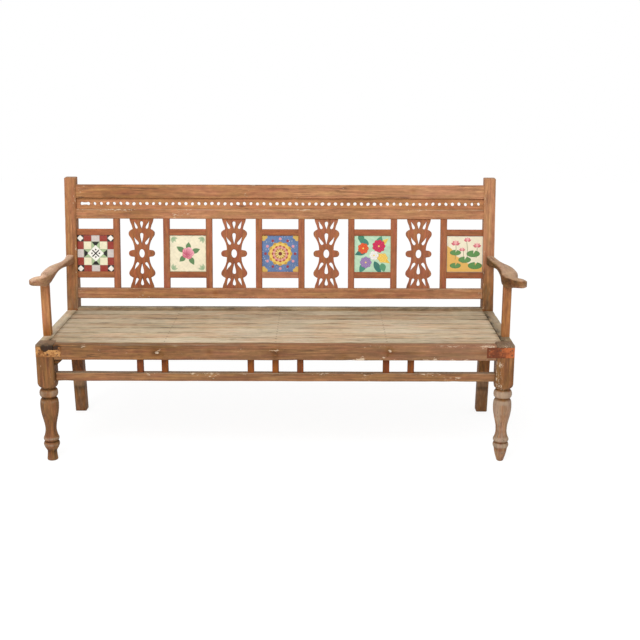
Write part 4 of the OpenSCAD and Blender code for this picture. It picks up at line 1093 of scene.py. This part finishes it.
# %% Splats
def drop(tip, end, r, bow=0.0):
    """A drop: its half width grows from the tip as a power of a sine, and it ends in an arc.

    Its middle line bows to one side as a parabola does."""
    tip, end = np.array(tip, float), np.array(end, float)
    d = end - tip
    side = np.array([d[1], -d[0]]) / np.linalg.norm(d)
    s = np.linspace(0, 1, 9)
    middle = tip + d * s[:, None] + side * bow * 4 * (s * (1 - s))[:, None]
    half = (0.8 + (r - 0.8) * np.sin(np.pi / 2 * s) ** 1.4)[:, None]
    turn = math.atan2(d[1], d[0]) + np.radians(np.arange(-75, 76, 15))
    cap = end + r * np.stack([np.cos(turn), np.sin(turn)], -1)
    return np.concatenate([middle + half * side, cap, (middle - half * side)[::-1]])


DRAWN_H = 286
SPLAT_TINTS = (-0.35, -0.05, 0.1, 0.1)
fan = along([[49, 145], [46, 131], [40, 116], [36, 101]], 5)
lobe = along(
    [[36, 101], [44, 96.5], [51, 90], [53, 82], [50.5, 73], [43, 62], [35.5, 47], [31, 31], [29.5, 15]], 5,
)
ear_turn = np.radians(np.arange(90, -1, -12))
ear = np.stack([39.5 + 13.5 * np.cos(ear_turn), 13.5 * np.sin(ear_turn)], -1)
quarter = np.concatenate([fan, lobe[1:], ear])
right_side = np.concatenate([quarter, quarter[-2::-1] * [1, -1]])
stretch = [1, (INFILL[1] - INFILL[0]) / DRAWN_H]
splat_line = np.concatenate([right_side, right_side[::-1] * [-1, 1]]) * stretch
eye_turn = np.linspace(0, 2 * np.pi, 28, endpoint=False)
cuts = [np.stack([11.5 * np.cos(eye_turn), 17.5 * np.sin(eye_turn)], -1)]
for up in (1, -1):
    cuts += [drop([0, 41], [0, 77.5], 7.2) * [1, up], drop([0, 103], [0, 126], 6.6) * [1, up]]
    for over in (1, -1):
        cuts += [drop([31.5, 67.5], [18, 42.5], 6.0, -0.8) * [over, up]]
        cuts += [drop([31, 132.5], [21, 107.5], 5.6) * [over, up]]
openings = [cut * stretch for cut in cuts]
for k, tint in enumerate(SPLAT_TINTS):
    low, high = reach(f"splat_{k + 1}", True)
    middle = ((low[0] + high[0]) / 2, sum(INFILL) / 2)
    splat = sawn(
        splat_line, openings, low[1], high[1] - low[1], middle, rim=1.5, pitch=4, seed=141 + k, tint=tint,
    )
    place(f"splat_{k + 1}_wood", splat, russet, "teak_russet", f"splat_{k + 1}", lean=True)
print(len(SPLAT_TINTS), "splats with", len(cuts), "openings each")

# %% [markdown]
# A glazed tile is a fired clay slab: a picture in coloured glazes under a clear shine, on a face
# that is a little pillowed at its edge. The face is a fine grid, so every point can have its own
# glaze. A picture is a few shapes laid over each other, each a formula in the tile's own two
# directions u and v, from -1 to 1: rings, petals, leaves, dots.

# %% Glazes
COUNT = 190
v, u = np.meshgrid(np.linspace(-1, 1, COUNT), np.linspace(-1, 1, COUNT), indexing="ij")


def cloud(seed, size, parts=7):
    """Soft mottling between about -1 and 1: a mean of plane waves in seeded directions."""
    rng = np.random.default_rng(seed)
    total = 0
    turns, phases = rng.uniform(0, np.pi, parts), rng.uniform(0, 7, parts)
    for turn, phase, length in zip(turns, phases, size * rng.uniform(0.4, 1.6, parts)):
        total = total + np.sin((u * np.cos(turn) + v * np.sin(turn)) * 2 * np.pi / length + phase)
    return total / parts * 1.6


def step(value, soft=0.012):
    """1 where the value is above zero, 0 below, with a soft edge."""
    return np.clip(value / soft + 0.5, 0, 1)


def lay(ground, mask, colour):
    """The ground with a colour laid over it where the mask is 1."""
    return ground * (1 - mask[..., None]) + np.asarray(colour) * mask[..., None]


def disc(x, y, r, flat=1.0):
    """Inside a circle, or an ellipse flattened in its height."""
    return step(r - np.hypot(u - x, (v - y) / flat))


def turned_axes(x, y, turn):
    """How far each point lies along and beside a line that starts at (x, y) in direction turn."""
    c, s = math.cos(turn), math.sin(turn)
    return (u - x) * c + (v - y) * s, -(u - x) * s + (v - y) * c


def leaf(x, y, length, turn, width):
    """Inside a leaf: along its axis its half width is a sine, from its foot at (x, y) to its tip."""
    run, off = turned_axes(x, y, turn)
    share = np.clip(run / length, 0, 1)
    return step(width * np.sin(np.pi * share**0.8) - abs(off)) * step(run) * step(length - run)


def flower(x, y, r, petals, turn, depth):
    """Inside a flower: the distance of its edge from its middle swells once for each petal."""
    angle = np.arctan2(v - y, u - x) + turn
    return step(r * (1 - depth + depth * abs(np.cos(angle * petals / 2))) - np.hypot(u - x, v - y))


def veins(x, y, turn, length, gap=0.07):
    """Fine lines that branch from a leaf's middle."""
    run, off = turned_axes(x, y, turn)
    return step(0.25 - abs(((run - abs(off)) / gap) % 1 - 0.5), 0.2) * step(length - abs(run))


print("a tile's face has", COUNT * COUNT, "points")

# %% [markdown]
# The first tile is a traditional geometric patchwork, laid five by five: a white lozenge with a
# small dark cross in the middle, green and cream round it, and dark red and grey outside, with a
# white lozenge on black in each corner.


# %% Patchwork tile
def patchwork():
    """Cells from the widths .18 .21 .22 .21 .18, folded to one quarter by symmetry, each coloured."""
    x, y = abs(u), abs(v)
    joints = (0.22, 0.64)
    col, row = ((w > joints[0]).astype(int) + (w > joints[1]) for w in (x, y))
    red, pale, cream = rgb(150, 50, 38), rgb(208, 198, 192), rgb(234, 228, 196)
    green, black, white = rgb(164, 186, 142), rgb(14, 14, 18), rgb(244, 241, 232)
    face = np.zeros(u.shape + (3,)) + cream
    for a, b, colour in ((0, 1, green), (0, 2, pale), (1, 1, cream), (1, 2, red), (2, 2, black)):
        here = ((col == a) & (row == b)) | ((col == b) & (row == a))
        face = lay(face, here.astype(float), colour)
    for a, b in ((x, y), (y, x)):
        face = lay(face, step(0.62 - a) * step(a - 0.36) * step((a - 0.36) * 0.8 - b), black)
    face = lay(face, step(0.17 - abs(x - 0.82) - abs(y - 0.82)), white)
    face = lay(face, step(0.44 - x - y), white)
    cross = step(0.045 - abs(x - y)) * step(0.19 - np.maximum(x, y))
    dots = np.maximum(step(0.045 - np.hypot(x - 0.2, y)), step(0.045 - np.hypot(x, y - 0.2)))
    face = lay(face, np.maximum(cross, dots), black)
    joint = np.min([abs(a - b) for a in (x, y) for b in joints], 0)
    joint = step(0.01 - joint) * step(x + y - 0.42)
    face = lay(face, 0.5 * joint, rgb(90, 84, 76)) * (1 + 0.06 * cloud(1, 0.3)[..., None])
    return face, 0.25 * (1 - joint)


print("patchwork, mean colour", np.round(patchwork()[0].mean((0, 1)), 2))

# %% [markdown]
# The second has a pink rose with green leaves on cream, the third a golden rosette on blue. Their
# petals are rings of the flower formula, each ring turned against the last and a shade darker.


# %% Rose and rosette tiles
def rose():
    """A rose: rings of petals that shrink and turn to its middle, five leaves, a sprig in each corner."""
    face = rgb(240, 230, 200) * (1 + 0.05 * cloud(2, 0.2)[..., None] + 0.04 * cloud(3, 0.9)[..., None])
    height = 0.1 * cloud(2, 0.25)
    for turn, size in ((0.35, 0.5), (1.5, 0.42), (2.6, 0.52), (3.9, 0.44), (5.2, 0.5)):
        x, y = 0.2 * math.cos(turn), 0.2 * math.sin(turn)
        mask = leaf(x, y, size, turn, 0.14)
        face = lay(face, mask, rgb(104, 142, 92))
        face = lay(face, mask * veins(x, y, turn, 1.0) * 0.5, rgb(60, 98, 62))
        height = np.maximum(height, mask * 0.4)
    for k in range(7):
        r = 0.33 - 0.043 * k
        mask = flower(0.0, 0.02, r, 5 - k % 2, k * 1.1, 0.16)
        face = lay(face, mask, rgb(206 - 5 * k, 96 - 4 * k, 120 - 4 * k))
        lit = flower(0.012, 0.034, r - 0.02, 5 - k % 2, k * 1.1, 0.16)
        face = lay(face, lit, rgb(248 - 6 * k, 176 - 9 * k, 190 - 8 * k))
        height = np.maximum(height, mask * (0.5 + 0.08 * k))
    for x in (-0.86, 0.86):
        for y in (-0.86, 0.86):
            for spread in (-0.6, 0, 0.6):
                turn = math.atan2(-y, -x) + spread
                face = lay(face, 0.75 * leaf(x, y, 0.32, turn, 0.075), rgb(140, 172, 132))
    rim = step(np.maximum(abs(u), abs(v)) - 0.97 + 0.025 * abs(np.sin(9 * (u + v))))
    return lay(face, 0.6 * rim, rgb(150, 170, 130)), height


def rosette():
    """A golden rosette of scalloped rings on a speckled blue ground, with red and pink buds round it."""
    speck = step(cloud(4, 0.11, 9) - 0.75, 0.2)
    face = lay(rgb(96, 122, 166) * (1 + 0.12 * cloud(5, 0.5)[..., None]), 0.8 * speck, rgb(222, 224, 222))
    height = 0.2 * speck
    rings = [
        (0.66, 12, (196, 150, 60)), (0.6, 12, (232, 196, 96)), (0.46, 12, (170, 70, 66)),
        (0.41, 12, (226, 160, 150)),
    ]
    rings += [(0.3, 8, (200, 152, 62)), (0.25, 8, (240, 214, 130)), (0.11, 8, (120, 44, 48))]
    for k, (r, petals, colour) in enumerate(rings):
        mask = flower(0, 0, r, petals, 0.26 * (k % 2), 0.14)
        face, height = lay(face, mask, rgb(*colour)), np.maximum(height, mask * (0.3 + 0.08 * k))
    for k in range(12):
        turn = k * math.pi / 6
        c, s = math.cos(turn), math.sin(turn)
        face = lay(face, disc(0.8 * c, 0.8 * s, 0.075), rgb(*((150, 52, 62), (222, 150, 160))[k % 2]))
        face = lay(face, leaf(0.12 * c, 0.12 * s, 0.26, turn, 0.02), rgb(150, 96, 40))
    for x in (-0.9, 0.9):
        for y in (-0.9, 0.9):
            face = lay(face, flower(x, y, 0.22, 4, 0, 0.3), rgb(214, 176, 90))
    return face, height


for picture in (rose, rosette):
    print(picture.__name__, "mean colour", np.round(picture()[0].mean((0, 1)), 2))

# %% [markdown]
# The fourth tile has bold blooms on mint, the fifth pink blossoms and round leaves over a pond.
# Both are the builder's own arrangement, in colours like those of the photographed bench.


# %% Blooms and pond tiles
# A leaf: x, y, turn, length, colour. A bloom: x, y, radius, petals, dark colour, light colour
LEAVES = [
    (-0.2, 0.5, 2.6, 0.7, (64, 138, 122)), (-0.3, 0.2, 3.5, 0.7, (52, 120, 108)),
    (0.1, -0.4, 5.2, 0.8, (50, 124, 110)), (-0.4, -0.5, 4.2, 0.6, (72, 146, 124)),
    (0.1, 0.2, 0.7, 1.0, (244, 208, 92)), (0.1, 0.0, 5.75, 1.0, (246, 200, 74)),
    (0.3, 0.5, 1.2, 0.5, (76, 150, 116)), (0.5, -0.5, 5.0, 0.5, (92, 160, 118)),
    (-0.5, 0.7, 2.2, 0.45, (70, 140, 110)),
]
BLOOMS = [
    (0.34, 0.42, 0.36, 9, (170, 24, 66), (214, 44, 92)), (-0.5, 0.3, 0.3, 7, (196, 60, 28), (236, 96, 44)),
    (-0.36, -0.46, 0.32, 8, (120, 92, 150), (164, 138, 186)),
    (0.56, -0.22, 0.27, 6, (226, 168, 50), (250, 218, 110)),
    (0.08, -0.08, 0.26, 6, (216, 210, 206), (250, 248, 242)),
]
# A stem: x, foot, head. A pad: x, y, radius. A blossom: x, y, size. Its petals: turn, colour
STEMS = [(-0.52, -0.3, 0.5), (0.1, -0.4, 0.68), (0.62, -0.2, 0.36), (-0.12, -0.5, 0.2)]
PADS = [(-0.5, 0.08, 0.3), (0.46, 0.02, 0.36), (0.0, -0.3, 0.34), (0.56, -0.62, 0.38), (-0.5, -0.62, 0.3)]
BLOSSOMS = [(-0.5, 0.6, 0.26), (0.14, 0.78, 0.22), (0.66, 0.48, 0.24), (-0.14, 0.26, 0.18)]
DEEP_PINK, PINK, PALE_PINK = (206, 96, 112), (226, 128, 136), (244, 178, 176)
PETALS = [(0.35, DEEP_PINK), (2.8, DEEP_PINK), (0.95, PINK), (2.2, PINK), (1.57, PALE_PINK)]


def blooms():
    """Five large flowers, each of a few turned rings, over pointed teal and yellow leaves."""
    face = rgb(188, 222, 190) * (1 + 0.08 * cloud(6, 0.4)[..., None])
    height = 0.1 * cloud(6, 0.4)
    for x, y, turn, size, colour in LEAVES:
        mask = leaf(x, y, size, turn, 0.17)
        face = lay(face, mask, rgb(*colour))
        darker = rgb(*(0.75 * np.array(colour)).astype(int))
        face = lay(face, 0.35 * mask * veins(x, y, turn, 1.2, 0.1), darker)
        height = np.maximum(height, 0.4 * mask)
    for x, y, r, petals, dark, light in BLOOMS:
        for k in range(4):
            ring_r = r * (1 - 0.24 * k)
            mask = flower(x, y, ring_r, petals, 0.5 * k, 0.16)
            face = lay(face, mask, rgb(*dark))
            face = lay(face, flower(x, y, ring_r - 0.025, petals, 0.5 * k, 0.16), rgb(*light))
            height = np.maximum(height, mask * (0.5 + 0.1 * k))
        face = lay(face, disc(x, y, 0.045), rgb(244, 216, 110))
    return face, height


def pond():
    """Round leaves with a notch, blossoms on stems, an ochre bank and a blue-grey edge on cream."""
    face = rgb(244, 234, 206) * (1 + 0.04 * cloud(7, 0.5)[..., None])
    height = 0.05 * cloud(7, 0.4)
    bank = step(-0.35 - v + 0.35 * u * u - 0.5 * u + 0.06 * cloud(8, 0.7), 0.04)
    face, height = lay(face, bank, rgb(232, 182, 96)), np.maximum(height, 0.2 * bank)
    for x, base, top in STEMS:
        stem = step(0.014 - abs(u - x - 0.05 * np.sin(3 * (v - base)))) * step(v - base) * step(top - v)
        face = lay(face, 0.9 * stem, rgb(120, 130, 84))
    for x, y, r in PADS:
        angle = np.arctan2((v - y) / 0.5, u - x)
        notch = 1 - step(0.16 - abs(angle - 1.4))
        mask = disc(x, y, r, 0.5) * notch
        face = lay(face, mask, rgb(62, 116, 66))
        rays = step(abs(np.sin(angle * 7)) - 0.25, 0.5)
        face = lay(face, 0.75 * disc(x, y, r - 0.03, 0.5) * notch * rays, rgb(112, 160, 90))
        height = np.maximum(height, 0.5 * mask)
    for x, y, size in BLOSSOMS:
        for turn, colour in PETALS:
            mask = leaf(x, y - size * 0.35, size, turn, size * 0.3)
            face, height = lay(face, mask, rgb(*colour)), np.maximum(height, 0.7 * mask)
    rim = step(np.maximum(abs(u), abs(v)) - 0.955)
    return lay(face, 0.7 * rim, rgb(128, 146, 168)), height


PICTURES = [
    ("patchwork", patchwork), ("rose", rose), ("rosette", rosette), ("blooms", blooms), ("pond", pond),
]
print("pictures:", [name for name, picture in PICTURES])

# %% [markdown]
# The glaze is glassy, with faint crazing. Colour comes from the points, so the shader only varies
# it a little and adds the shine. The slab's bare back and sides get the colour of fired clay.

# %% Tiles
GAP, FACE_IN, BACK_IN = 0.3, 0.25, 0.2
PILLOW, PILLOW_FROM, PILLOW_W = 0.8, 0.93, 0.07
RELIEF, PAINT_STRENGTH = 0.22, 0.87
BARE_CLAY = rgb(172, 128, 100)
glaze = Finish("glazed tile")
place_in = glaze.add("TexCoord", {}, "Object")
mottle = glaze.noise(place_in, (60, 60, 60), 4)
cells = {"Vector": place_in, "Scale": 110.0}
craze = glaze.add("TexVoronoi", cells, "Distance", feature="DISTANCE_TO_EDGE")
craze = glaze.step(craze, 0.03, 0.0)
clay = glaze.field("wear")
skin = glaze.mix(glaze.step(mottle, 0.3, 0.7, 0, 0.1), glaze.field("glaze", "Color"), rgb(120, 112, 96))
skin = glaze.mix(glaze.math("MULTIPLY", craze, 0.12), skin, rgb(110, 96, 76))
shine = glaze.math("MULTIPLY_ADD", clay, 0.5, glaze.step(mottle, 0.3, 0.7, 0.16, 0.3))
bumps = glaze.math("SUBTRACT", mottle, glaze.math("MULTIPLY", craze, 0.2))
glaze = glaze.finish(skin, shine, bumps, 0.0006, 0.35, Specular_IOR_Level=0.3)


def tile(face, height, low, high):
    """A slab: its face is the grid, raised by the glaze's height, and near its edge drawn back as a
    parabola. Its sides are the border of the face, carried to the back, which a fan closes."""
    x, z = (low[0] + high[0]) / 2, (low[2] + high[2]) / 2
    half_x, half_z = (high[0] - low[0]) / 2 - GAP, (high[2] - low[2]) / 2 - GAP
    edge = np.maximum(abs(u), abs(v))
    fall = np.clip((edge - PILLOW_FROM) / PILLOW_W, 0, 1) ** 2
    depth = low[1] + FACE_IN + PILLOW * fall - RELIEF * height
    front = np.stack([x + half_x * u, depth, z + half_z * v], -1)
    index = np.arange(COUNT * COUNT).reshape(COUNT, COUNT)
    quads = grid_quads(index)
    border = np.concatenate([index[0, :-1], index[:-1, -1], index[-1, :0:-1], index[:0:-1, 0]])
    back = front.reshape(-1, 3)[border].copy()
    back[:, 1] = high[1] - BACK_IN
    n, m = COUNT * COUNT, len(border)
    ring = n + np.arange(m)
    beside = np.roll(np.arange(m), -1)
    walls = np.stack([border, ring, ring[beside], border[beside]], -1)
    fan = np.stack([np.full(m, n + m), ring[beside], ring], -1)
    points = np.concatenate([front.reshape(-1, 3), back, [[x, high[1] - BACK_IN, z]]])
    painted = np.clip(PAINT_STRENGTH * face, 0, 1).reshape(-1, 3)
    colour = np.concatenate([painted, np.tile(BARE_CLAY, (m + 1, 1))])
    bare = np.r_[np.zeros(n), np.ones(m + 1)][:, None]
    solid = {"points": points, "quads": np.concatenate([quads, walls]), "tris": fan}
    return {**solid, "glaze": np.c_[colour, np.ones(len(colour))], "wear": bare}


for k, (name, picture) in enumerate(PICTURES):
    low, high = reach(f"tile_{k + 1}", True)
    place(f"tile_{name}", tile(*picture(), low, high), glaze, f"tile_{name}", f"tile_{k + 1}", lean=True)
print("tiles are", round(float(high[0] - low[0])), "mm wide")

# %% [markdown]
# Thin metal plates were nailed over both front corners: brass at the left, with its top edge torn
# away, and copper at the right. Each is a sheet that ripples a little. Its upper edge follows a
# line of heights, so the torn notch needs no cutting.


# %% Corner plates
def metal(name, light, dark, spot, rough, metallic=0.75, dull_at=None):
    """A worn metal: polished and dull patches, dark stains and fine dents.

    dull_at gives the x from which, and the x up to which, it brightens."""
    f = Finish(name)
    where = f.add("TexCoord", {}, "Object")
    patch, stain = f.noise(where, (45, 45, 45), 5, 0.65), f.noise(where, (120, 120, 160), 4, 0.7)
    dents = f.noise(where, (260, 260, 260), 2)
    if dull_at:
        patch = f.math("ADD", patch, f.step(f.add("SeparateXYZ", {0: where}, "X"), *dull_at, -0.16, 0.14))
    colour = f.mix(f.step(patch, 0.38, 0.62), rgb(*dark), rgb(*light))
    colour = f.mix(f.step(stain, 0.55, 0.65, 0, 0.85), colour, rgb(*spot))
    shine = f.step(patch, 0.3, 0.7, rough + 0.2, rough)
    return f.finish(colour, shine, dents, 0.0012, 0.5, Metallic=metallic)


brass = metal("brass", (190, 140, 86), (132, 84, 44), (66, 42, 28), 0.42)
copper = metal("copper", (178, 98, 54), (114, 60, 36), (84, 50, 36), 0.45, 0.7, dull_at=(0.79, 0.86))
PLATE_LOW, PLATE_H, PLATE_T, PLATE_Y = 410, 39, 0.8, -1.0
BRASS_X, COPPER_X = (-873.5, -782.5), (873.5, 772.5)


def sheet(x_from, x_to, upper, seed):
    """A rippled sheet: a front and a back grid, joined round the rim. upper gives its height along x."""
    across, rows = np.linspace(0, 1, 70), np.linspace(0, 1, 14)
    x = x_from + (x_to - x_from) * across[None] + 0 * rows[:, None]
    z = PLATE_LOW + rows[:, None] * upper(across)[None]
    ripple = 0.16 * waver(x, seed, 40) + 0.1 * waver(z, seed + 1, 25)
    front = np.stack([x, PLATE_Y + ripple, z], -1)
    back = front + [0, PLATE_T, 0]
    loop = np.concatenate([front, back[::-1]])
    if x_to < x_from:
        loop = loop[:, ::-1]
    grid = loop.transpose(1, 0, 2)
    return tube(grid[:, ::-1])


def torn(share):
    """Height of the brass along its length: whole at both ends, torn away between them."""
    heights = [PLATE_H, PLATE_H, 27, 18, 20, 27, 26, 28, 38.5, 36]
    return np.interp(share, [0, 0.19, 0.22, 0.3, 0.42, 0.52, 0.72, 0.89, 0.92, 1], heights)


def whole(share):
    """Height of the copper along its length: the same all the way."""
    return PLATE_H + 0 * share


place("plate_brass", sheet(*BRASS_X, torn, 151), brass, "plate_brass", "corner_plate_brass")
place("plate_copper", sheet(*COPPER_X, whole, 153), copper, "plate_copper", "corner_plate_copper")
print("plates: brass", BRASS_X[1] - BRASS_X[0], "mm, copper", COPPER_X[0] - COPPER_X[1], "mm long")

# %% [markdown]
# The slats and plates are held by iron nails, of which only the heads show, and the apron by three
# wooden pegs. A head is a low dome: a quarter circle turned round its middle, a few faces each.


# %% Nails and pegs
BEARER_X, NAIL_OFF = (-410, 0, 410), 18
SEAT_NAIL_Z, PLATE_NAIL_Y, PEG_Y, PEG_Z = SEAT_TOP - 0.3, -1.2, -0.1, 420
DOME_ROWS, DOME_END = 4, 1.35


def domes(places, r, rise, normal, seed, ring=14):
    """Low domes on given places: rings that shrink as a cosine while they rise as a sine."""
    normal = np.array(normal, float)
    side = np.array([1.0, 0, 0])
    other = np.cross(normal, side)
    swing = np.linspace(0, DOME_END, DOME_ROWS)
    climb, size = np.r_[-0.6, np.sin(swing)], np.r_[1.0, np.cos(swing)]
    turn = np.linspace(0, 2 * np.pi, ring, endpoint=False)
    flat = np.cos(turn)[:, None] * side + np.sin(turn)[:, None] * other
    rng, solids = np.random.default_rng(seed), []
    for spot in places:
        spin = 1 + 0.12 * waver(turn, int(rng.integers(999)), 3)[:, None]
        rings = np.array(spot) + r * size[:, None, None] * (flat * spin)
        grid = rings + (rise * climb)[:, None, None] * normal
        zero = np.zeros(grid.shape[:2])
        solids.append(tube(grid, grain=grid * MM + spot[0] * 0.01, wear=zero, tint=zero, paint=zero))
    return joined(solids)


dull = metal("dull iron", (150, 130, 106), (122, 106, 88), (104, 82, 62), 0.7, 0.2)
rusty = metal("rusty iron", (126, 84, 54), (92, 60, 40), (70, 46, 34), 0.6, 0.4)
slats = [reach(f"seat_slat_{k + 1}") for k in range(len(SLAT_SPOTS))]
seat_spots = [
    (x, (a[1] + b[1]) / 2 + off, SEAT_NAIL_Z)
    for a, b in slats
    for x in BEARER_X
    for off in (-NAIL_OFF, NAIL_OFF)
]
brass_nails = [(-860, 436), (-829.8, 420), (-794, 420), (-790, 439)]
copper_nails = [(864, 420), (864, 439), (823, 439), (782, 420), (782, 439)]
plate_spots = [(x, PLATE_NAIL_Y, z) for x, z in brass_nails + copper_nails]
place("seat_nails", domes(seat_spots, 3.4, 0.5, (0, 0, 1), seed=1), dull, "nail_iron", "nails")
place("plate_nails", domes(plate_spots, 3.2, 1.1, (0, -1, 0), seed=2), rusty, "nail_iron", "nails")
pegs = domes([(x, PEG_Y, PEG_Z) for x in BEARER_X], 5.2, 0.5, (0, -1, 0), seed=3, ring=24)
pegs["tint"] -= 1.2
place("pegs", pegs, rail_brown, "peg_teak", "bearer_pegs")
print(len(seat_spots) + len(plate_spots), "nail heads and", len(BEARER_X), "pegs")

# %% [markdown]
# The studio is plain: a pale floor, an even white sky and one large soft lamp from the front left.
# The camera sees the floor and the sky as white, by the Light Path node, and the floor still keeps
# the bench's soft shadow. The view transform stays Standard, so colours come out as written.

# %% Floor and light
scene = bpy.context.scene
scene.view_settings.view_transform = "Standard"
FLOOR_HALF, FLOOR_POINTS = 6, 25
SKY_STRENGTH, LAMP_WATTS, FLOOR_GLOW, FLOOR_SHARE = 0.72, 150, 1.08, 0.8
span = np.linspace(-FLOOR_HALF, FLOOR_HALF, FLOOR_POINTS)
ground = np.stack(np.meshgrid(span, span + 2, [0.0]), -1).reshape(-1, 3)
index = np.arange(FLOOR_POINTS**2).reshape(FLOOR_POINTS, FLOOR_POINTS)
floor_mesh = bpy.data.meshes.new("floor")
floor_mesh.from_pydata(ground.tolist(), [], grid_quads(index).tolist())
floor = bpy.data.objects.new("floor", floor_mesh)
scene.collection.objects.link(floor)
floor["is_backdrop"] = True
WHITE = (1, 1, 1, 1)
pale = Finish("pale floor")
pale.shader.inputs["Base Color"].default_value = (0.95, 0.95, 0.95, 1)
pale.shader.inputs["Roughness"].default_value = 0.9
seen = pale.add("LightPath", {}, "Is Camera Ray")
glow = pale.add("Emission", {"Color": WHITE, "Strength": FLOOR_GLOW})
share = pale.math("MULTIPLY", seen, FLOOR_SHARE)
both = pale.add("MixShader", {0: share, 1: pale.shader.outputs[0], 2: glow})
pale.tree.links.new(both, pale.tree.nodes["Material Output"].inputs["Surface"])
floor_mesh.materials.append(pale.material)

world = bpy.data.worlds.new("sky")
scene.world = world
world.use_nodes = True
sky = world.node_tree
even, white = sky.nodes["Background"], sky.nodes.new("ShaderNodeBackground")
for background, strength in ((even, SKY_STRENGTH), (white, 1.0)):
    background.inputs["Color"].default_value = WHITE
    background.inputs["Strength"].default_value = strength
path, either, blend = (sky.nodes.new("ShaderNode" + kind) for kind in ("LightPath", "Math", "MixShader"))
either.operation, either.use_clamp = "ADD", True
sky.links.new(path.outputs["Is Camera Ray"], either.inputs[0])
sky.links.new(path.outputs["Is Glossy Ray"], either.inputs[1])
for source, target in ((either.outputs[0], 0), (even.outputs[0], 1), (white.outputs[0], 2)):
    sky.links.new(source, blend.inputs[target])
sky.links.new(blend.outputs[0], sky.nodes["World Output"].inputs["Surface"])

LAMP_AT, LAMP_AIM, LAMP_SIZE = (-1.0, -3.3, 3.4), (0, 0, 0.4), 3.0
lamp_data = bpy.data.lights.new("soft lamp", "AREA")
lamp_data.shape, lamp_data.size, lamp_data.energy = "DISK", LAMP_SIZE, LAMP_WATTS
lamp = bpy.data.objects.new("soft lamp", lamp_data)
lamp.location = LAMP_AT
lamp.rotation_euler = (Vector(LAMP_AIM) - lamp.location).to_track_quat("-Z", "Y").to_euler()
scene.collection.objects.link(lamp)
print("one lamp and an even sky")

# %% [markdown]
# The camera stands where the photo was taken from: a little to the right of the middle, above the
# seat and looking slightly down. These numbers were fitted to the bench's corners in the photo.

# %% Camera
EYE = (0.1527, -4.17595, 1.538)
PITCH, YAW, ROLL = 0.2504, 0.0004, 0.0025
LENS, SENSOR = 61.875, 36
gaze = Vector((math.sin(YAW) * math.cos(PITCH), math.cos(YAW) * math.cos(PITCH), -math.sin(PITCH)))
side = Vector((math.cos(YAW), -math.sin(YAW), 0))
top = side.cross(gaze)
right = side * math.cos(ROLL) + top * math.sin(ROLL)
up = top * math.cos(ROLL) - side * math.sin(ROLL)
camera_data = bpy.data.cameras.new("camera")
camera_data.lens, camera_data.sensor_width = LENS, SENSOR
camera = bpy.data.objects.new("camera", camera_data)
camera.matrix_world = Matrix((right, up, -gaze)).transposed().to_4x4()
camera.location = EYE
scene.collection.objects.link(camera)
scene.camera = camera
print("camera", EYE, "lens", LENS)

# %% [markdown]
# Last, the bench's box is measured with all its new pieces on, beside the CAD part's own box: the
# looks mustn't change the size.

# %% Measure and finish
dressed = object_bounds()
grown = [round((a - b) / MM, 2) for p, q in zip(dressed, cad_box) for a, b in zip(p, q)]
print("grown by, in mm", grown)
